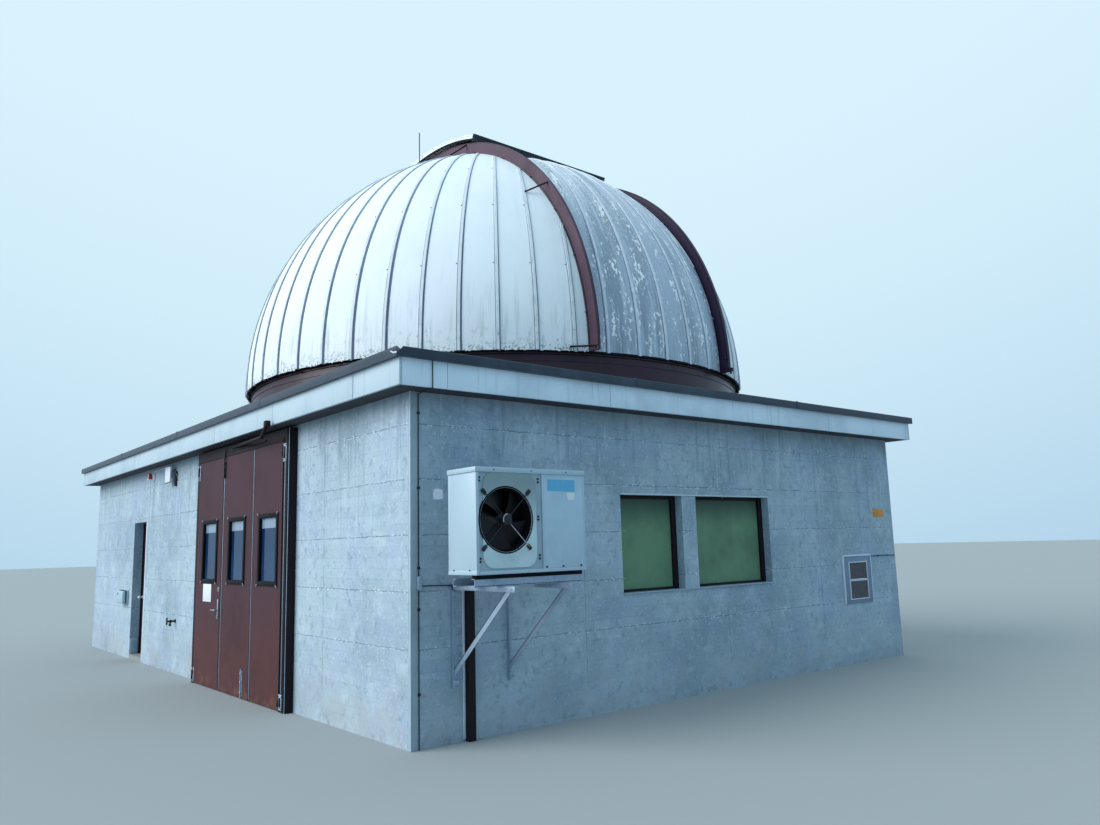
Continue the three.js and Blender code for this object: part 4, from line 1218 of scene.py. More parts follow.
@dataclass
class OutdoorUnit:
    """The outdoor unit: folded casing, pressed front, fan and wall bracket."""

    lid: float = 0.044
    lid_out: float = 0.010
    split: float = -3.217
    fan_y: float = -3.62
    fan_z: float = 1.936
    well: float = 0.272
    well_rim: float = 0.004
    well_steps: int = 64
    gap_below: float = 0.032
    folded: float = 0.02
    panel: Field = (-3.862, -3.296, 1.532, 2.338)
    panel_corner: float = 0.11
    panel_facets: int = 8
    panel_sunk: float = 0.008
    panel_depth: float = 0.011
    # The longest side of a facet round a hole that is cut into a plate.
    longest: float = 0.03
    feet_x: Span = (4.745, 5.025)
    # The bell mouth's section: how far in front of the casing, and how far out from the well.
    mouth: tuple[Span, ...] = (
        (-0.205, -0.002), (-0.004, -0.002), (0.006, 0.008), (0.002, 0.018), (-0.012, 0.014),
        (-0.205, 0.010))
    hub: tuple[Span, ...] = ((0.0, 0.0), (0.0, 0.062), (0.035, 0.058), (0.05, 0.04), (0.056, 0.0))
    blades: int = 5
    blade_radii: Span = (0.05, 0.258)
    blade_parts: int = 6
    blade_sheet: float = 0.004
    blade_sweep: float = 0.25
    screws: tuple[Span, ...] = (
        (-3.896, 2.29), (-3.896, 2.262), (-3.891, 1.952), (-3.892, 1.616), (-3.892, 1.59),
        (-3.268, 2.291), (-3.268, 2.262), (-3.272, 1.962), (-3.272, 1.936), (-3.264, 1.628),
        (-3.264, 1.60), (-3.19, 1.525), (-2.79, 1.525), (-3.0, 1.525))
    blue_label: Field = (-3.163, -2.842, 2.188, 2.292)
    white_label: tuple[Span, ...] = (
        (-2.94, 2.176), (-2.932, 2.125), (-2.915, 2.106), (-2.86, 2.110), (-2.842, 2.15),
        (-2.85, 2.178))
    legs_y: Span = (-3.65, -3.025)
    angle: float = 0.05
    steel: float = 0.005
    arm_top: float = 1.385

    def around(self, radius: float, turn: float, x: float) -> Place:
        """A point at a radius and a turn from +Y round the fan's axis."""
        return x, self.fan_y + radius * cos(turn), self.fan_z + radius * sin(turn)

    def pressed_outline(self, x: float) -> list[Place]:
        """The rounded outline of the pressed front panel."""
        y0, y1, z0, z1 = self.panel
        radius = self.panel_corner
        points = []
        for cy, cz, start in ((y1, z1, 0), (y0, z1, 90), (y0, z0, 180), (y1, z0, 270)):
            my = cy - copysign(radius, cy - (y0 + y1) / 2)
            mz = cz - copysign(radius, cz - (z0 + z1) / 2)
            for i in range(self.panel_facets + 1):
                t = radians(start + i * 90 / self.panel_facets)
                points.append((x, my + radius * cos(t), mz + radius * sin(t)))
        return points

    def beyond_well(self, point: Place) -> Place:
        """The same point, or where it lies within the well, the nearest one just outside its rim."""
        y, z = point[1] - self.fan_y, point[2] - self.fan_z
        grow = max(1.0, (self.well + self.well_rim) / hypot(y, z))
        return point[0], self.fan_y + y * grow, self.fan_z + z * grow

    def ringed(self, form: Form, outline: list[Place], depth: float) -> None:
        """Adds a plate with the fan's round hole in it, from its outline."""
        points = []
        for a, b in zip(outline, outline[1:] + outline[:1]):
            parts = max(1, ceil(dist(a, b) / self.longest))
            for i in range(parts):
                points.append(self.beyond_well(tuple(p + (q - p) * i / parts for p, q in zip(a, b))))
        angles = [atan2(z - self.fan_z, y - self.fan_y) for _, y, z in points]
        outer = [form.bm.verts.new(p) for p in points]
        inner = [form.bm.verts.new(self.around(self.well, a, points[0][0])) for a in angles]
        loops = [form.bm.edges.new(pair) for ring in (outer, inner)
                 for pair in zip(ring, ring[1:] + ring[:1])]
        form.push(bmesh.ops.bridge_loops(form.bm, edges=loops)["faces"], (depth, 0, 0))

    def build_casing(self) -> None:
        """Replaces the casing with its folded side, front, back, lid and base on black strips, which
        run its length as a painted shadow in the gap below.
        """
        low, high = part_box("unit_casing")
        base, top = low.z + self.gap_below, high.z - self.lid
        t, out = self.folded, self.lid_out
        form = Form()
        form.box((low.x, low.y, base), (high.x - t, low.y + t, top), 0.004)
        form.box((low.x, high.y - t, base), (high.x - t, high.y, top), 0.004)
        form.box((low.x, low.y + t, base), (low.x + t, high.y - t, top), 0.003)
        form.box((low.x + t, low.y + t, base), (high.x - t, high.y - t, base + t), 0.003)
        form.box((high.x - t, low.y - 0.002, base), (high.x + 0.002, low.y + 0.03, top), 0.004)
        form.box((low.x - 0.002, low.y - 0.002, base), (low.x + 0.03, low.y + 0.02, top), 0.004)
        form.box((low.x - out, low.y - out, top), (high.x + out, high.y + out, high.z), 0.006)
        form.box((low.x - 0.003, low.y - 0.004, base),
                 (high.x + 0.004, low.y + 0.02, base + 0.035), 0.003)
        form.piece("unit_case", UNIT_ENAMEL, "enamel", stands_for=["unit_casing"])
        front = Form()
        x = high.x - t
        front.box((x, self.split + 0.012, base + 0.03), (high.x, high.y - 0.012, top), 0.003)
        front.piece("service_panel", ENAMEL_WITH_PAINTED_SKY, "enamel")
        front = Form()
        y0, y1, z0 = low.y + 0.03, self.split - 0.012, base + 0.03
        self.ringed(front, [(x, y0, z0), (x, y1, z0), (x, y1, top), (x, y0, top)], t * 0.75)
        front.piece("fan_plate", FAN_PLATE, "enamel")
        foot = Form()
        foot.box((x, low.y + 0.03, base), (high.x + 0.006, high.y, base + 0.03), 0.003)
        foot.box((high.x - 0.004, self.split - 0.012, base + 0.03),
                 (high.x + 0.003, self.split + 0.012, top), 0.002)
        foot.box((high.x - 0.008, high.y - 0.016, base),
                 (high.x + 0.003, high.y + 0.002, top), 0.003)
        foot.piece("unit_trims", UNIT_ENAMEL, "enamel")
        pads = Form()
        # The rubber strips run nearly the casing's whole length, a painted shadow in the gap under it.
        for px, start in zip(self.feet_x, (low.y + 0.3, low.y + 0.02)):
            pads.box((px - 0.03, start, low.z), (px + 0.028, high.y - 0.01, base + 0.002), 0.004)
        pads.piece("unit_feet_and_shadow_strips", RUBBER, "black_wire")

    def build_pressing(self) -> None:
        """Adds the raised panel round the fan and the black bell mouth in it."""
        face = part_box("unit_casing")[1].x
        form = Form()
        self.ringed(form, self.pressed_outline(face - self.panel_sunk), self.panel_depth)
        form.piece("fan_panel", UNIT_PANEL, "enamel")
        mouth = Form()
        section = [(face + ahead, self.fan_y, self.fan_z + (self.well + out))
                   for ahead, out in self.mouth]
        mouth.sweep(section, (0, self.fan_y, self.fan_z), (1, 0, 0), 360, self.well_steps)
        turns = [2 * pi * i / self.well_steps for i in range(self.well_steps)]
        back = face + self.mouth[0][0] - 0.004
        mouth.slab([self.around(self.well + 0.008, turn, back) for turn in turns], (0.006, 0, 0))
        mouth.piece("fan_bell_mouth", RUBBER, "black_wire")

    def build_guard(self) -> None:
        """Replaces the guard with a motor cap, four arms to slotted tabs, a thin rim and a clamp, and a
        bright arc on the cap as a painted highlight.
        """
        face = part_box("unit_casing")[1].x
        centre = Vector((face + 0.008, self.fan_y, self.fan_z))
        dark, bright = Form(), Form()
        for i in range(4):
            t = radians(45 + 90 * i)
            side = Vector((0, cos(t), sin(t)))
            arm = bright if i == 3 else dark
            arm.rod(centre + side * 0.05, centre + side * 0.33 + Vector((0.004, 0, 0)), 0.0045, 10)
            turn = Matrix.Rotation(t, 3, "X")
            middle, half = centre + side * 0.332, Vector((0.007, 0.027, 0.017))
            dark.box(middle - half, middle + half, 0.005, turn)
            for shift in (-0.012, 0.012):
                dark.rod(middle + side * shift, middle + side * shift + Vector((0.010, 0, 0)), 0.004, 8)
        square, turn = Vector((0.014, 0.046, 0.046)), Matrix.Rotation(radians(8), 3, "X")
        dark.box(centre - square, centre + square, 0.010, turn)
        # The bright partial ring over the cap's upper left is a painted highlight; the full dark ring
        # is the rim.
        for form, r0, r1, ahead, start, sweep, steps in (
                (bright, 0.044, 0.053, 0.012, 95, 110, 16), (dark, 0.274, 0.282, -0.010, 0, 360, 48)):
            x, t = centre.x + ahead, radians(start)
            corners = ((0, r0), (0, r1), (0.006, r1), (0.006, r0))
            outline = [self.around(r, t, x + a) for a, r in corners]
            form.sweep(outline, centre, (1, 0, 0), sweep, steps)
        dark.piece("fan_guard_arms", BLACK_COAT, "black_wire", stands_for=["fan_guard"])
        bright.piece("fan_cable_arm_and_highlight", STAINLESS, "galvanised")

    def build_fan(self) -> None:
        """Replaces the fan with a domed hub and broad twisted blades."""
        low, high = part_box("fan_rotor")
        axis = (self.fan_y, self.fan_z)
        middle = Vector((high.x - 0.03, *axis))
        form = Form()
        profile = [form.bm.verts.new((high.x - 0.058 + a, axis[0], axis[1] + r)) for a, r in self.hub]
        edges = [form.bm.edges.new(pair) for pair in zip(profile, profile[1:])]
        bmesh.ops.spin(form.bm, geom=profile + edges, cent=(0, *axis), axis=(1, 0, 0),
                       angle=2 * pi, steps=32, use_merge=True)
        form.rod((low.x, *axis), (high.x - 0.05, *axis), 0.014)
        for i in range(self.blades):
            turn = Matrix.Rotation(2 * pi * (i + 0.3) / self.blades, 3, "X")
            rows = [[form.bm.verts.new(middle + turn @ p) for p in row] for row in self.blade_points()]
            edges = [[form.bm.edges.new(pair) for pair in zip(row, row[1:])] for row in rows]
            strips = []
            for a, b in zip(edges, edges[1:]):
                strips += bmesh.ops.bridge_loops(form.bm, edges=a + b)["faces"]
            bmesh.ops.solidify(form.bm, geom=strips, thickness=self.blade_sheet)
        form.piece("fan_blades", FAN_BLACK, "black_wire", "fan", ["fan_rotor"])

    def blade_points(self) -> list[list[Vector]]:
        """Rows of points over one blade, from root to tip, twisted and swept."""
        root, tip = self.blade_radii
        parts = self.blade_parts
        rows = []
        for share in [j / parts for j in range(parts + 1)]:
            radius = root + (tip - root) * share
            width = radians(76 - 2 * share)
            pitch = radians(32 - 15 * share)
            row = []
            for across in [i / parts - 0.5 for i in range(parts + 1)]:
                t = across * width + share * self.blade_sweep
                lean = across * radius * width * tan(pitch) * 0.8
                row.append(Vector((lean, radius * cos(t), radius * sin(t))))
            rows.append(row)
        return rows

    def build_small_parts(self) -> None:
        """Adds screws, the two bare labels and the bracket's bolts and end caps."""
        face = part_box("unit_casing")[1].x
        form = Form()
        for y, z in self.screws:
            form.rod((face - 0.003, y, z), (face + 0.006, y, z), 0.009, 10)
        for x in (4.76, 5.0):
            form.rod((x, -3.928, 1.52), (x, -3.938, 1.52), 0.006, 8)
        for y in (-3.75, -3.35, -2.95):
            form.rod((face + 0.008, y, 2.358), (face + 0.013, y, 2.358), 0.006, 8)
        form.piece("unit_screws", BLACK_COAT, "black_wire")
        label = Form()
        y0, y1, z0, z1 = self.blue_label
        label.box((face - 0.001, y0, z0), (face + 0.0015, y1, z1))
        label.piece("bare_blue_label", BARE_LABEL, "enamel")
        label = Form()
        label.slab([(face, y, z) for y, z in self.white_label], (0.0015, 0, 0))
        label.piece("bare_white_label", WHITE_LABEL, "white_plastic")

    def build_bracket(self) -> None:
        """Replaces the bracket with its angle-steel legs, arms and struts, its rails and its bolts."""
        low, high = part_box("unit_bracket")
        wall, steel, half, top = low.x, self.steel, self.angle / 2, self.arm_top
        foot, head = Vector((wall + 0.03, 0, 0.598)), Vector((high.x - 0.085, 0, 1.345))
        along = (head - foot).normalized()
        up = Vector((-along.z, 0, along.x)) * self.angle / 2
        form = Form()
        for y in self.legs_y:
            near = y - half
            form.box((wall, near, low.z), (wall + steel, y + half, top))
            form.box((wall, near, low.z), (wall + 0.04, near + steel, top))
            form.box((wall, near, 1.38), (high.x, y + half, top))
            form.box((wall, near, 1.335), (high.x, near + steel, top), 0.001)
            side = Vector((0, near + 0.004, 0))
            for below, thick in ((-up, steel), (up * 0.75, self.angle)):
                strut = [foot + up, head + up, head + below, foot + below]
                form.slab([point + side for point in strut], (0, thick, 0))
            for z in (0.52, 1.30):
                form.box((wall, y - 0.028, z - 0.022), (wall + 0.044, y + 0.028, z + 0.022), 0.003)
                form.rod((wall + 0.04, y, z), (wall + 0.058, y, z), 0.011, 6)
            form.rod((high.x - 0.045, y - 0.03, 1.36), (high.x - 0.045, y + 0.03, 1.36), 0.010, 6)
        for x, face in zip(self.feet_x, (-1, 1)):
            web = sorted((x + face * half, x + face * (half - steel)))
            form.box((web[0], low.y, 1.381), (web[1], high.y, high.z))
            for z in (1.386, high.z - steel):
                form.box((x - half, low.y, z), (x + half, high.y, z + steel))
        form.piece("angle_steel_bracket", ZINC, "galvanised", stands_for=["unit_bracket"])

    def build(self) -> None:
        """Builds the outdoor unit and its bracket."""
        self.build_casing()
        self.build_pressing()
        self.build_guard()
        self.build_fan()
        self.build_small_parts()
        self.build_bracket()


@dataclass
class WallFittings:
    """Lamp, letter box, tap, vent, plates, duct and lightning conductor on the walls."""

    front: float = -4.09
    right: float = 4.30
    conductor_y: float = -4.013
    wire: float = 0.005
    letter_box: Field = (-5.735, -5.325, 0.9, 1.128)
    beacon_x: float = -4.06
    tap: Span = (-2.56, 0.747)
    louvre_y: Span = (2.82, 3.255)
    louvre_heights: tuple[Span, ...] = ((1.132, 1.354), (0.865, 1.103))
    louvre_edge: float = 0.012
    louvre_lean: float = 35.0
    slats: int = 9
    orange_plate: Field = (3.568, 3.86, 1.99, 2.10)
    lead_clips: Span = (3.6, 3.85)
    off_wall: float = 0.012
    conductor_clips: tuple[float, ...] = (0.45, 1.17, 1.53, 2.24, 2.92)
    patch: Span = (-3.80, 2.20)
    # The filler's ragged rim: an angle in degrees and a radius for each corner.
    patch_rim: tuple[Span, ...] = (
        (0, 0.05), (40, 0.06), (85, 0.05), (130, 0.06), (180, 0.055), (225, 0.07), (270, 0.05),
        (320, 0.066))

    def build_lamp(self) -> None:
        """Adds the lamp's shade, the sensor beside it with a black strip under the shade as painted
        shadow, and the red beacon on its bracket.
        """
        low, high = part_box("door_lamp")
        shade = Form()
        shade.box((low.x, low.y - 0.005, low.z), (low.x + 0.26, low.y + 0.022, high.z), 0.009)
        shade.box((low.x + 0.09, low.y + 0.02, low.z + 0.06), (high.x, high.y, high.z - 0.06), 0.006)
        shade.piece("lamp_shade", WHITE_PLASTIC, "white_plastic", stands_for=["door_lamp"])
        sensor = Form()
        x, y = high.x + 0.12, self.front
        sensor.box((x, y - 0.036, 2.755), (x + 0.05, y + 0.001, 2.985), 0.006)
        sensor.wire([
            (x + 0.05, y - 0.02, 2.955), (x + 0.09, y - 0.022, 2.94), (x + 0.11, y - 0.022, 2.905),
            (x + 0.09, y - 0.022, 2.87), (x + 0.05, y - 0.02, 2.85)], 0.009)
        # Painted shadow: a black strip along the shade's lower front edge.
        sensor.box((low.x + 0.006, low.y - 0.002, low.z - 0.006),
                   (low.x + 0.254, low.y + 0.02, low.z + 0.003), 0.002)
        sensor.piece("lamp_sensor_and_shadow_line", BLACK_COAT, "black_wire")
        beacon = Form()
        x = self.beacon_x
        beacon.rod((x, y - 0.06, 2.955), (x, y - 0.06, 3.03), 0.037, 24, 0.030)
        beacon.ball((x, y - 0.06, 3.025), 0.030)
        beacon.piece("beacon_lens", RED_LENS, "white_plastic")
        mount = Form()
        mount.box((-4.09, y - 0.10, 2.94), (-4.03, y + 0.001, 2.957), 0.003)
        mount.box((-4.02, y - 0.02, 2.93), (-3.97, y + 0.001, 3.03), 0.004)
        mount.wire([(-3.995, y - 0.012, 3.03), (-3.995, y - 0.012, 3.075), (-3.3, y - 0.01, 3.09),
                    (-3.0, y - 0.01, 3.06)], self.wire)
        mount.piece("beacon_mount", WHITE_PLASTIC, "white_plastic")

    def build_letter_box(self) -> None:
        """Replaces the letter box with its rounded front, the plate behind it, and black boxes as
        painted shade in the gap between and in the top groove.
        """
        x0, x1, z0, z1 = self.letter_box
        wall = self.front
        body, gap = Form(), Form()
        body.box((x0, wall - 0.105, z0), (x1, wall - 0.045, z1), 0.026)
        body.box((x0, wall - 0.034, z0), (x1, wall, z1), 0.010)
        body.piece("letter_box_body", UNIT_ENAMEL, "enamel", stands_for=["letter_box"])
        # Painted shade: black boxes fill the groove between body and plate and the groove along the
        # top; the last rod is the keyhole.
        gap.box((x0 + 0.01, wall - 0.048, z0 + 0.01), (x1 - 0.008, wall - 0.03, z1 - 0.008))
        gap.box((x0 + 0.13, wall - 0.092, z1 - 0.006), (x1 - 0.02, wall - 0.05, z1 + 0.005), 0.002)
        gap.rod((x0 + 0.105, wall - 0.1, z1 - 0.06), (x0 + 0.105, wall - 0.108, z1 - 0.06), 0.020, 16)
        gap.piece("letter_box_gap_shade", RUBBER, "black_wire")

    def build_tap(self) -> None:
        """Adds the garden tap: wall flange, valve body, spout and upright handle."""
        (x, z), wall = self.tap, self.front
        form = Form()
        form.rod((x, wall + 0.001, z), (x, wall - 0.012, z), 0.032, 20, 0.026)
        form.rod((x, wall, z), (x, wall - 0.10, z), 0.015, 16)
        form.ball((x, wall - 0.068, z), 0.025)
        form.wire([(x, wall - 0.065, z), (x, wall - 0.074, z - 0.03), (x, wall - 0.076, z - 0.055)],
                  0.012, 12)
        form.rod((x, wall - 0.076, z - 0.04), (x, wall - 0.076, z - 0.068), 0.018, 16)
        form.rod((x, wall - 0.10, z), (x, wall - 0.12, z + 0.005), 0.009)
        form.rod((x, wall - 0.12, z - 0.035), (x, wall - 0.122, z + 0.042), 0.011)
        for end in (-0.035, 0.042):
            form.ball((x, wall - 0.121, z + end), 0.015)
        form.piece("garden_tap", BLACK_COAT, "galvanised")

    def build_vent(self) -> None:
        """Replaces the vent cabinet with its thin panel, white edge and two louvred fields."""
        low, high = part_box("vent_cabinet")
        low.y -= 0.045
        high.y -= 0.055
        face = high.x - 0.006
        panel, trim, louvres = Form(), Form(), Form()
        panel.box(low, (face - 0.004, high.y, high.z), 0.004)
        panel.piece("vent_panel", VENT_PAINT, "enamel", stands_for=["vent_cabinet"])
        trim.box((low.x, low.y - 0.006, low.z), (high.x, low.y + 0.014, high.z), 0.003)
        trim.box((low.x, low.y + 0.014, high.z - 0.014), (high.x, high.y, high.z + 0.006), 0.003)
        trim.box((low.x, high.y - 0.006, low.z), (high.x, high.y + 0.004, high.z - 0.014), 0.002)
        turn = Matrix.Rotation(radians(self.louvre_lean), 3, "Y")
        y0, y1 = self.louvre_y
        edge = self.louvre_edge
        for z0, z1 in self.louvre_heights:
            for a, b, c, d in (
                    (y0 - edge, y1 + edge, z1, z1 + edge), (y0 - edge, y1 + edge, z0 - edge, z0),
                    (y0 - edge, y0, z0, z1), (y1, y1 + edge, z0, z1)):
                trim.box((face - 0.012, a, c), (face + 0.006, b, d), 0.002)
            louvres.box((face - 0.02, y0, z0), (face - 0.003, y1, z1))
            for i in range(self.slats):
                z = z0 + (i + 0.3) * (z1 - z0) / self.slats
                louvres.box((face - 0.010, y0, z), (face + 0.004, y1, z + 0.004), 0.0, turn)
        trim.piece("vent_trim", WHITE_PLASTIC, "enamel")
        louvres.piece("vent_louvres", LOUVRE, "enamel")
        plate = Form()
        y0, y1, z0, z1 = self.orange_plate
        plate.box((self.right - 0.001, y0, z0), (self.right + 0.004, y1, z1), 0.001)
        plate.piece("bare_orange_plate", ORANGE_PLATE, "enamel")
        lead = Form()
        x = self.right + 0.008
        lead.wire([(x, high.y - 0.01, 1.43), (x, high.y + 0.3, 1.433), (x, 4.06, 1.43)], 0.006)
        for y in self.lead_clips:
            lead.box((self.right, y - 0.006, 1.42), (x + 0.008, y + 0.006, 1.442), 0.002)
        lead.piece("vent_lead", BLACK_COAT, "black_wire")

    def build_duct(self) -> None:
        """Adds the pale strips on the wall beside the maroon duct cover."""
        low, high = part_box("duct_cover")
        form = Form()
        for y0, y1 in ((low.y - 0.024, low.y), (high.y, high.y + 0.008)):
            form.box((low.x - 0.001, y0, low.z + 0.02), (low.x + 0.007, y1, high.z), 0.002)
        form.piece("duct_edges", WHITE_PLASTIC, "galvanised")
        # The cover's maroon is darkened to near black, painted shade of the bracket.
        dress(DUCT_MAROON_IN_PAINTED_SHADE, "duct_cover")

    def build_conductor(self) -> None:
        """Adds the lightning conductor from the coping down the corner, its clips and test joint."""
        x, y = self.right, self.conductor_y
        low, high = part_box("fascia_right")
        edge, down = high.x + self.off_wall, x + self.off_wall
        form = Form()
        form.wire([(edge, y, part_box("coping_right")[0].z + 0.01), (edge, y, low.z - 0.008),
                   (down, y, low.z - 0.02), (down, y, 0.0)], self.wire)
        form.wire([(down, y, 1.385), (down, y + 0.2, 1.380), (down, -3.66, 1.372)], self.wire)
        for z in self.conductor_clips:
            form.box((x, y - 0.012, z), (x + 0.022, y + 0.012, z + 0.024), 0.003)
        form.piece("lightning_conductor", BLACK_COAT, "galvanised")
        joint = Form()
        joint.box((x, y - 0.018, 1.35), (x + 0.035, y + 0.022, 1.47), 0.004)
        joint.piece("conductor_joint", ZINC, "galvanised")
        patch = Form()
        py, pz = self.patch
        rim = [(radians(turn), radius) for turn, radius in self.patch_rim]
        outline = [(x - 0.0005, py + r * cos(a), pz + r * sin(a)) for a, r in rim]
        patch.slab(outline, (0.002, 0, 0))
        patch.piece("filler_patch", FILLER, "concrete")

    def build(self) -> None:
        """Builds all the fittings."""
        self.build_lamp()
        self.build_letter_box()
        self.build_tap()
        self.build_vent()
        self.build_duct()
        self.build_conductor()


# The dome


@dataclass
class DomeSkin:
    """The dome's fixed skin in flat gores with battens over their seams."""

    centre: float = DOME_CENTRE
    radius: float = DOME_RADIUS
    rear_radius: float = 3.745
    skirt: float = 0.045
    gores: int = 52
    sheet: float = 0.014
    # Angles are degrees. The seams end at this elevation, and so far from the slit's border.
    seam_turn: float = -1.0
    seam_foot: float = -0.65
    seam_clear: float = 0.5
    inner_seam_clear: float = 0.6
    bar_facet: float = 2.5
    batten_width: float = 0.042
    batten_height: float = 0.013
    # The painted shade and dirt beside a batten is wider the further it lies from the slit, on the
    # gores turned from the light.
    seam_painted_shade: tuple[float, ...] = (0.008, 0.015, 0.024)
    seam_painted_shade_from: Span = (38, 52)
    seam_line: float = 0.006
    screw_rises: tuple[float, ...] = (16.2, 30.9, 45.6)
    rain_skirt: Span = (3.768, 3.778)
    clips_a_gore: int = 7
    curb_bolts: int = 104
    slit: float = 1.2503
    rear_slit: float = 1.1995
    top: float = 80.0
    rear_start: float = 105.0
    lip: float = 0.048

    def middle(self) -> Vector:
        """The dome's centre."""
        return Vector((0, 0, self.centre))

    def azimuth(self, k: int) -> float:
        """The direction of a seam from +X, in degrees."""
        return k * 360 / self.gores + self.seam_turn

    def towards(self, azimuth: float, elevation: float) -> Vector:
        """The direction from the centre at an azimuth and elevation in degrees."""
        turn, rise = radians(azimuth), radians(elevation)
        level = cos(rise)
        return Vector((level * cos(turn), level * sin(turn), sin(rise)))

    def shell(self, radius: float, steps: int = 40) -> Form:
        """Starts a form with the open gored surface, from its skirt to near the crown."""
        form = Form()
        bm = form.bm
        turn = radians(self.azimuth(0))
        x, y = radius * cos(turn), radius * sin(turn)
        foot = bm.verts.new((x, y, self.centre - self.skirt))
        spring = bm.verts.new((x, y, self.centre))
        bm.edges.new((foot, spring))
        bmesh.ops.spin(bm, geom=[spring], cent=self.middle(), axis=(y, -x, 0),
                       angle=radians(self.top), steps=steps)
        bmesh.ops.spin(bm, geom=bm.verts[:] + bm.edges[:], cent=self.middle(), axis=(0, 0, 1),
                       angle=2 * pi, steps=self.gores, use_merge=True)
        return form

    def meridian_bar(
        self, form: Form, azimuth: float, span: Point, radii: Point, width: float, taper: float,
    ) -> None:
        """Adds a bar along a meridian.

        Args:
            form: The form that it joins.
            azimuth: Its direction from +X, in degrees.
            span: The elevations where it starts and ends, in degrees.
            radii: Its inner and outer radius.
            width: Its width at the inner radius.
            taper: Its outer width as a share of that.
        """
        low, high = span
        if high - low < 1.0:
            return
        turn, out = radians(azimuth), self.towards(azimuth, low)
        inner, outer = [self.middle() + out * radius for radius in radii]
        side = Vector((-sin(turn), cos(turn), 0))
        edge = side * (width / 2)
        outline = [inner - edge, inner + edge, outer + edge * taper, outer - edge * taper]
        steps = max(2, round((high - low) / self.bar_facet))
        form.sweep(outline, self.middle(), -side, high - low, steps)

    def seam_span(self, azimuth: float, half: float, radius: float, inside: bool) -> Span:
        """Finds the part of a seam that lies inside or outside a slit.

        Args:
            azimuth: The seam's direction from +X, in degrees.
            half: The slit's half width.
            radius: The radius of the skin.
            inside: Whether the part between the slit's borders is meant.

        Returns:
            The elevations where that part starts and ends, in degrees.
        """
        reach = radius * abs(sin(radians(azimuth)))
        border = degrees(acos(half / reach)) if reach > half else 0.0
        if inside:
            low = border + self.inner_seam_clear if reach > half else self.seam_foot
            return max(self.seam_foot, low), self.top
        return self.seam_foot, max(self.seam_foot, min(self.top, border - self.seam_clear))

    def build_side(self, name: str, side: int) -> None:
        """Replaces one side of the dome with its skin, standing seams with strips of dirt and painted
        shade beside them, screws and inner ribs.
        """
        form = self.shell(self.radius)
        form.cut((0, side * self.slit, 0), (0, -side, 0))
        slot, body = "dome_white", "dome"
        nodes = [f"dome_shell_{name}_{half}" for half in ("front", "back")]
        form.piece(f"dome_skin_{name}", DOME_WHITE, slot, body, nodes, self.middle(), self.sheet)
        battens, seams, ribs, screws = Form(), Form(), Form(), Form()
        width, line = self.batten_width, self.seam_line
        skin = self.radius - 0.004
        for k in range(self.gores):
            azimuth = self.azimuth(k)
            if sin(radians(azimuth)) * side <= 0.3:
                continue
            span = self.seam_span(azimuth, self.slit + 0.02, self.radius, False)
            beside = degrees(1 / self.radius)
            from_slit = abs((azimuth + 180) % 360 - 180)
            dark = self.seam_painted_shade[sum(from_slit > limit for limit in self.seam_painted_shade_from)]
            batten = skin, self.radius + self.batten_height
            self.meridian_bar(battens, azimuth, span, batten, width, 0.8)
            # The strips beside each batten are dirt and painted shade of its flank.
            for strip, away in ((dark, (width + dark) / 2), (line, -(width + line) / 2)):
                strip_radii = skin, self.radius + 0.0025
                self.meridian_bar(seams, azimuth + away * beside, span, strip_radii, strip, 1.0)
            rib = self.radius - 0.066, self.radius - 0.01
            self.meridian_bar(ribs, azimuth, span, rib, 0.03, 1.0)
            for rise in self.screw_rises:
                if rise < span[1] - 2:
                    self.add_screw(screws, azimuth - 0.04 * beside, rise)
        battens.piece(f"dome_battens_{name}", BATTEN_WHITE, slot, body)
        seams.piece(f"dome_seam_dirt_and_shade_{name}", SEAM_DIRT_AND_PAINTED_SHADE, slot, body)
        ribs.piece(f"dome_ribs_{name}", HOOD_WHITE, slot, body)
        screws.piece(f"dome_screws_{name}", BLACK_COAT, "galvanised", body)

    def add_screw(self, form: Form, azimuth: float, rise: float) -> None:
        """Adds one screw head on the skin."""
        out = self.towards(azimuth, rise)
        ends = [self.middle() + out * (self.radius + away) for away in (-0.004, 0.004)]
        form.rod(*ends, 0.007, 8)

    def build_rear(self) -> None:
        """Replaces the rear part between the arches, under the parked shutters."""
        form = self.shell(self.rear_radius)
        start = radians(self.rear_start)
        for side in (-1, 1):
            form.cut((0, side * self.rear_slit, 0), (0, side, 0))
        form.cut(self.middle(), (sin(start), 0, -cos(start)))
        form.piece("dome_skin_rear", DOME_WHITE, "dome_white", "dome", ["dome_shell_rear"],
                   self.middle(), self.sheet)
        battens = Form()
        radii = self.rear_radius - 0.003, self.rear_radius + 0.009
        rise = tan(radians(180 - self.rear_start))
        for k in range(-3, 4):
            azimuth = self.azimuth(k + self.gores // 2)
            low = self.seam_span(azimuth, self.rear_slit - 0.06, self.rear_radius, True)[0]
            high = degrees(atan(rise * cos(radians(azimuth - 180)))) - 0.4
            self.meridian_bar(battens, azimuth, (low, high), radii, 0.034, 0.7)
        battens.piece("dome_battens_rear", BATTEN_WHITE, "dome_white", "dome")

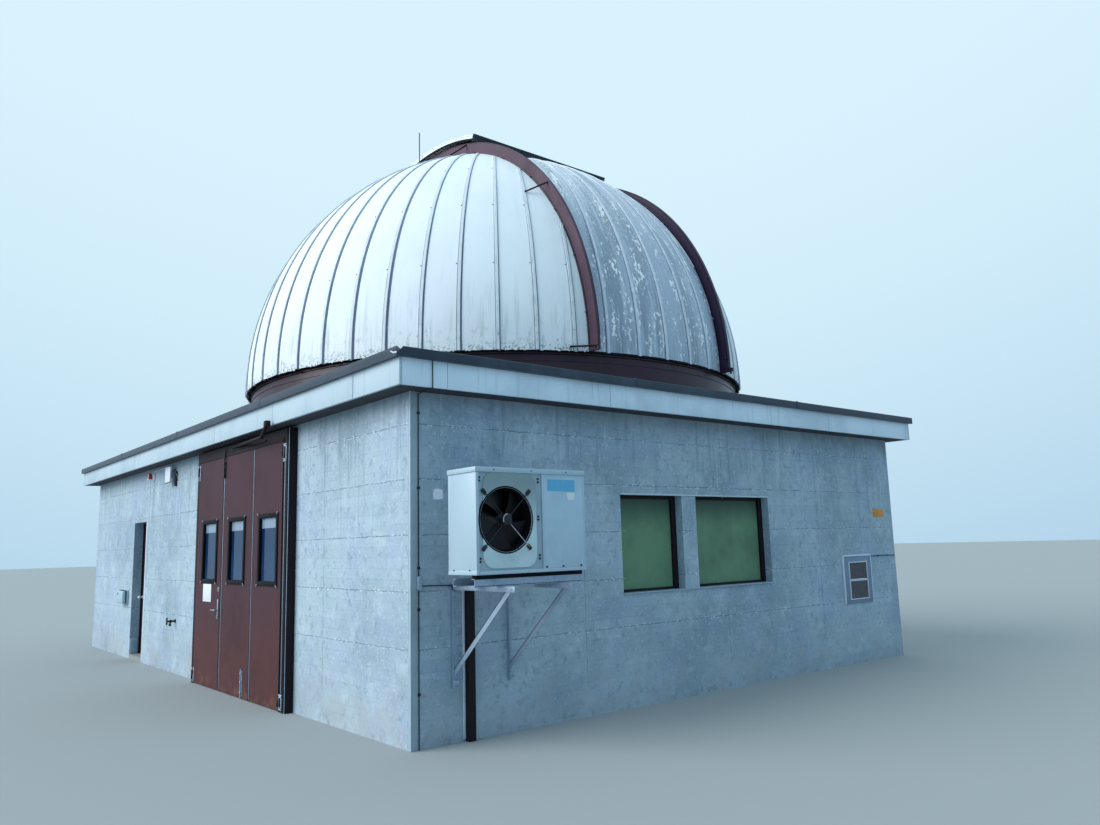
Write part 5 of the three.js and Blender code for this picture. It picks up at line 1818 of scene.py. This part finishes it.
    def build_skirt(self) -> None:
        """Adds the black rain skirt and the small worn clips along the skin's lower edge."""
        form = Form()
        form.ring(self.rain_skirt, (self.centre - 0.056, self.centre - 0.03), 2 * form.ring_steps)
        draw = random.Random(23)
        for vert in form.bm.verts:
            if vert.co.z < self.centre - 0.054:
                vert.co.z += draw.uniform(-0.003, 0.008)
        form.piece("rain_skirt", RUBBER, "black_wire", "dome")
        clips = Form()
        count = self.gores * self.clips_a_gore
        for i in range(count):
            if draw.random() < 0.5:
                turn = 2 * pi * (i + draw.uniform(-0.3, 0.3)) / count
                middle = Vector((cos(turn), sin(turn), 0)) * (self.radius - 0.004)
                if abs(middle.y) < self.slit + 0.03:
                    continue
                middle.z = self.centre - self.skirt - draw.uniform(0.0, 0.006)
                half = Vector((0.006, draw.uniform(0.004, 0.02), draw.uniform(0.003, 0.010)))
                clips.box(middle - half, middle + half, 0.0, Matrix.Rotation(turn, 3, "Z"))
        clips.piece("skirt_clips", BATTEN_WHITE, "dome_white", "dome")

    def build_curb(self) -> None:
        """Replaces the curb with a smooth rolled one with a lip and a bolted foot."""
        low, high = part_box("drum")
        outer = high.x
        form = Form()
        form.ring((outer - 0.15, outer), (low.z, high.z))
        form.ring((outer - 0.01, outer + 0.008), (high.z - 0.03, high.z - 0.002))
        form.ring((outer - 0.018, outer), (high.z - 0.004, high.z + self.lip))
        form.ring((outer - 0.01, outer + 0.06), (low.z, low.z + 0.012))
        form.piece("curb_plates", DRUM_MAROON, "maroon_paint", stands_for=["drum"])
        bolts = Form()
        circle = outer + 0.035
        for i in range(self.curb_bolts):
            turn = 2 * pi * i / self.curb_bolts
            x, y = circle * cos(turn), circle * sin(turn)
            bolts.rod((x, y, low.z + 0.01), (x, y, low.z + 0.024), 0.011, 6)
        bolts.piece("curb_bolts", ZINC, "galvanised")

    def build(self) -> None:
        """Builds and dresses the dome's fixed parts and its curb."""
        dress(DRUM_MAROON, "dome_base_ring")
        dress(ZINC, "roller_track")
        dress(BEAM_GREY, "lightning_rod")
        self.build_side("left", -1)
        self.build_side("right", 1)
        self.build_rear()
        self.build_skirt()
        self.build_curb()


@dataclass
class Slit:
    """The slit's arches, the front shutter between them and the upper shutter over them."""

    dome: DomeSkin
    web: Span = (1.21, 1.25)
    web_radius: float = 3.50
    # The outer radius of the left arch, which stands a little prouder, and of the right one.
    rims: Span = (3.7704, 3.724)
    rail: Span = (1.19, 1.212)
    foot_bracket: Span = (3.56, 3.77)
    gap_shade_radii: Span = (3.604, 3.630)
    clips: int = 14
    first_clip: float = 7.0
    clip_step: float = 12.5
    # Each stay: its angle up the arch in degrees, and how far it reaches to the side.
    stays: tuple[Span, ...] = ((38.7, 0.33), (73.7, 0.33), (0.0, 0.31))
    shutter_half: float = 1.19
    shutter_top: float = 75.0
    shutter_radius: float = 3.778
    wheels: tuple[float, ...] = (12, 42, 70)
    wheel_radius: float = 3.585
    wheel_y: Span = (1.1597, 1.1997)
    hood_span: Span = (70.0, 112.0)
    hood_radii: Span = (3.85, 3.87)
    hood_half: float = 1.30
    hood_skirt: float = 3.79
    hood_hem: float = 0.028
    guide_rib: Span = (1.11, 1.1497)
    guide_radius: float = 3.72
    beam_radii: Span = (3.78, 3.885)
    beam_clear: float = 3.80
    beam_facets: int = 16

    def both(self, side: int, near: float, far: float) -> Span:
        """Two distances from the middle as places along Y on one side, the lower one first."""
        low, high = sorted((side * near, side * far))
        return low, high

    def band(self, form: Form, ys: Point, radii: Point, span: Point, step: float = 1.5) -> None:
        """Adds an upright curved band round the dome's cross axis.

        Args:
            form: The form that it joins.
            ys: Its two sides along Y.
            radii: Its inner and outer radius.
            span: Its first and last angle from +X upwards, in degrees.
            step: The angle of one facet.
        """
        t = radians(span[0])
        middle = self.dome.middle()
        out = Vector((cos(t), 0, sin(t)))
        corners = ((radii[0], ys[0]), (radii[1], ys[0]), (radii[1], ys[1]), (radii[0], ys[1]))
        outline = [middle + out * r + Vector((0, y, 0)) for r, y in corners]
        turn = span[1] - span[0]
        form.sweep(outline, middle, (0, -1, 0), turn, max(2, round(turn / step)))

    def at(self, angle: float, radius: float, y: float) -> Vector:
        """A point at an angle from +X upwards, a radius round the cross axis, and a place along Y."""
        t = radians(angle)
        return Vector((radius * cos(t), y, self.dome.centre + radius * sin(t)))

    def build_arch(self, name: str, side: int) -> None:
        """Replaces one arch with its web, top flange, rail, foot brackets, clips and stays, and a black
        band as painted shadow where the skin meets it.
        """
        form = Form()
        rim = self.rims[side > 0]
        inner, outer = self.web
        y0, y1 = self.both(side, *self.web)
        self.band(form, (y0, y1), (self.web_radius, rim - 0.0004), (0.0, 180.0))
        flange = self.both(side, inner - 0.004, outer + 0.004)
        self.band(form, flange, (rim - 0.008, rim), (0.3, 179.7))
        skirt = self.dome.centre - self.dome.skirt
        for end in (-1, 1):
            x0, x1 = self.both(end, *self.foot_bracket)
            form.box((x0, y0, skirt), (x1, y1, self.dome.centre + 0.006))
        finish = SHADED_MAROON if side > 0 else MAROON
        form.piece(f"arch_web_{name}", finish, "maroon_paint", "dome", [f"arch_{name}"])
        rail = Form()
        self.band(rail, self.both(side, *self.rail), (rim - 0.06, rim - 0.014), (2.0, 178.0))
        rail.piece(f"arch_rail_{name}", finish, "maroon_paint", "dome")
        clips = Form()
        # A thin black band where the skin meets the arch, a painted shadow of the gap between them.
        self.band(clips, self.both(side, outer, outer + 0.006), self.gap_shade_radii, (0.3, 52.0))
        seat = sqrt(self.dome.radius ** 2 - outer ** 2)
        y = side * outer
        for i in range(self.clips):
            angle = self.first_clip + i * self.clip_step
            foot = self.at(angle, seat + 0.004, y + side * 0.004)
            clips.rod(foot, self.at(angle, seat + 0.010, y + side * 0.035), 0.005, 8)
            clips.ball(self.at(angle, seat + 0.012, y + side * 0.012), 0.007)
        clips.piece(f"arch_clips_and_gap_shade_{name}", BLACK_COAT, "black_wire", "dome")
        stays = Form()
        for angle, reach in self.stays:
            top = self.at(angle, rim - 0.025, y)
            far = Vector((top.x, y + side * reach, top.z)) - self.dome.middle()
            far = self.dome.middle() + far.normalized() * (self.dome.radius + 0.016)
            stays.rod(top, far, 0.011, 10)
            stays.ball(far, 0.016)
        stays.piece(f"arch_stays_{name}", BROWN_IN_PAINTED_SHADE, "maroon_paint", "dome")

    def build_front_shutter(self) -> None:
        """Replaces the front shutter with its gored skin, seams, edge frame and rollers."""
        dome, radius = self.dome, self.shutter_radius
        form = dome.shell(radius)
        top = radians(self.shutter_top)
        for side in (-1, 1):
            form.cut((0, side * self.shutter_half, 0), (0, side, 0))
        form.cut(dome.middle(), (-sin(top), 0, cos(top)))
        form.piece("shutter_skin", SHUTTER_GREY, "shutter_grey", "front_shutter",
                   ["front_shutter"], dome.middle(), dome.sheet)
        seams, dirt = Form(), Form()
        for k in range(-5, 6):
            azimuth = dome.azimuth(k)
            low = dome.seam_span(azimuth, self.shutter_half - 0.02, radius, True)[0]
            high = degrees(atan(tan(top) * cos(radians(azimuth)))) - 0.4
            dome.meridian_bar(seams, azimuth, (low, high), (radius - 0.004, radius + 0.011), 0.05, 0.65)
            # A dark strip beside each seam, of dirt and painted shade.
            beside = azimuth - degrees(0.029 / radius)
            dome.meridian_bar(dirt, beside, (low, high), (radius - 0.004, radius + 0.002), 0.006, 1.0)
        seams.piece("shutter_seams", SHUTTER_SEAM, "shutter_grey", "front_shutter")
        dirt.piece("shutter_seam_dirt_and_shade", SEAM_DIRT_AND_PAINTED_SHADE, "shutter_grey", "front_shutter")
        edge = Form()
        seat = sqrt(radius ** 2 - self.shutter_half ** 2)
        for side in (-1, 1):
            ys = self.both(side, self.shutter_half - 0.025, self.shutter_half)
            self.band(edge, ys, (seat - 0.018, seat - 0.003), (-0.6, self.shutter_top))
            for angle in self.wheels:
                a, b = [self.at(angle, self.wheel_radius, side * y) for y in self.wheel_y]
                edge.rod(a, b, 0.018, 20)
        edge.piece("shutter_edge_frame", ZINC, "shutter_grey", "front_shutter")

    def build_upper_shutter(self) -> None:
        """Replaces the upper shutter with its sheet, side skirts with black hems as painted shadow, and
        guide ribs.
        """
        half, span = self.hood_half, self.hood_span
        sheet, dark = Form(), Form()
        self.band(sheet, (-half, half), self.hood_radii, span)
        hem, under = self.hood_skirt + self.hood_hem, self.hood_radii[0] + 0.004
        for side in (-1, 1):
            ys = self.both(side, half - 0.02, half)
            self.band(sheet, ys, (hem, under), span)
            # A black band along each skirt's foot is a painted shadow of the slot beneath the hood.
            self.band(dark, ys, (self.hood_skirt, hem), span)
            self.band(dark, self.both(side, *self.guide_rib), (self.guide_radius, under), span)
        sheet.piece("hood_sheet", HOOD_WHITE, "dome_white", "upper_shutter", ["upper_shutter"])
        dark.piece("hood_guides_and_shadow_hem", RUBBER, "black_wire", "upper_shutter")
        self.build_beam()

    def build_beam(self) -> None:
        """Adds the straight beam at the hood's front, hollowed below to clear the crown."""
        t, half = radians(self.hood_span[0]), self.hood_half
        out = Vector((cos(t), 0, sin(t)))
        ahead = Vector((sin(t), 0, -cos(t)))
        (bottom, top), clear = self.beam_radii, self.beam_clear
        reach = sqrt(clear ** 2 - bottom ** 2)
        rise = asin(reach / clear)
        turns = [-rise + 2 * rise * i / self.beam_facets for i in range(self.beam_facets + 1)]
        arc = [(sin(a) * clear, cos(a) * clear) for a in turns]
        section = [(-half, top), (-half, bottom), *arc, (half, bottom), (half, top)]
        beam = Form()
        base = self.dome.middle() - ahead * 0.025
        beam.slab([base + out * r + Vector((0, y, 0)) for y, r in section], ahead * 0.030)
        for r in (top - 0.004, bottom + 0.070):
            lip = [base + out * (r - 0.004) + ahead * 0.024 + Vector((0, y, 0)) for y in (-half, half)]
            lip += [point + ahead * 0.016 for point in reversed(lip)]
            beam.slab(lip, out * 0.006)
        beam.piece("hood_beam", BEAM_GREY, "galvanised", "upper_shutter")

    def build(self) -> None:
        """Builds and dresses the slit's moving and fixed parts."""
        self.build_arch("left", -1)
        self.build_arch("right", 1)
        self.build_front_shutter()
        self.build_upper_shutter()


# The view


@dataclass
class Studio:
    """The photograph's viewpoint over a pale floor, in soft light."""

    place: Place = (10.991, -7.958, 1.718)
    yaw: float = -0.8821
    pitch: float = 0.1534
    roll: float = -0.0271
    focal_pixels: float = 852.7
    image_width: float = 1100.0
    sensor: float = 36.0
    sky: str = "#96bfdd"
    haze: str = "#d8f2fe"
    haze_side: Place = (-0.35, 0.25, 0.9)
    haze_reach: Span = (0.0, 0.8)
    key: Place = (-0.33, -0.82, 0.5)
    key_colour: str = "#fffdfb"
    key_strength: float = 2.75
    key_softness: float = 50.0
    floor_half: float = 160.0
    view_end: float = 500.0

    def build_camera(self) -> None:
        """Places the camera where the photograph was taken from."""
        level = cos(self.pitch)
        ahead = Vector((sin(self.yaw) * level, cos(self.yaw) * level, sin(self.pitch)))
        across = Vector((cos(self.yaw), -sin(self.yaw), 0))
        up = across.cross(ahead)
        right = across * cos(self.roll) + up * sin(self.roll)
        top = up * cos(self.roll) - across * sin(self.roll)
        data = bpy.data.cameras.new("photo_view")
        data.sensor_width = self.sensor
        data.lens = self.focal_pixels / self.image_width * self.sensor
        data.clip_end = self.view_end
        camera = bpy.data.objects.new("photo_view", data)
        turned = Matrix((right, top, -ahead)).transposed().to_4x4()
        camera.matrix_world = Matrix.Translation(self.place) @ turned
        bpy.context.scene.collection.objects.link(camera)
        bpy.context.scene.camera = camera

    def build_light(self) -> None:
        """Makes a hazy sky, palest overhead and behind the dome, and a broad light on the entrance."""
        world = bpy.data.worlds.new("pale_sky")
        world.use_nodes = True
        tree = world.node_tree
        towards = add_node(tree, "TexCoord").outputs["Generated"]
        haze = Vector(self.haze_side).normalized()
        along = add_node(tree, "VectorMath", "DOT_PRODUCT", towards, haze).outputs["Value"]
        share = add_node(tree, "MapRange", "SMOOTHSTEP", along, *self.haze_reach).outputs[0]
        mixed = add_node(tree, "Mix", "RGBA", share, i6=linear(self.sky), i7=linear(self.haze))
        tree.links.new(mixed.outputs[2], tree.nodes["Background"].inputs["Color"])
        bpy.context.scene.world = world
        bpy.context.scene.view_settings.view_transform = "Standard"
        data = bpy.data.lights.new("key", "SUN")
        data.energy = self.key_strength
        data.angle = radians(self.key_softness)
        data.color = linear(self.key_colour)[:3]
        light = bpy.data.objects.new("key", data)
        light.rotation_euler = Vector(self.key).to_track_quat("Z", "Y").to_euler()
        bpy.context.scene.collection.objects.link(light)

    def build_floor(self) -> None:
        """Makes the pale floor, which isn't part of the building."""
        bm = bmesh.new()
        bmesh.ops.create_grid(bm, x_segments=1, y_segments=1, size=self.floor_half)
        mesh = bpy.data.meshes.new("studio_floor")
        bm.to_mesh(mesh)
        bm.free()
        floor = bpy.data.objects.new("studio_floor", mesh)
        mesh.materials.append(STUDIO_FLOOR.material())
        bpy.context.scene.collection.objects.link(floor)

    def build(self) -> None:
        """Builds the camera, the light and the floor."""
        self.build_camera()
        self.build_light()
        self.build_floor()


def main() -> None:
    """Builds every sub-assembly in order."""
    logging.basicConfig(level=logging.INFO, format="%(message)s")
    Studio().build()
    ConcreteShell().build()
    RoofEdge().build()
    Entrance().build()
    SideDoor().build()
    OutdoorUnit().build()
    WallFittings().build()
    dome = DomeSkin()
    dome.build()
    Slit(dome).build()


if __name__ == "__main__":
    main()
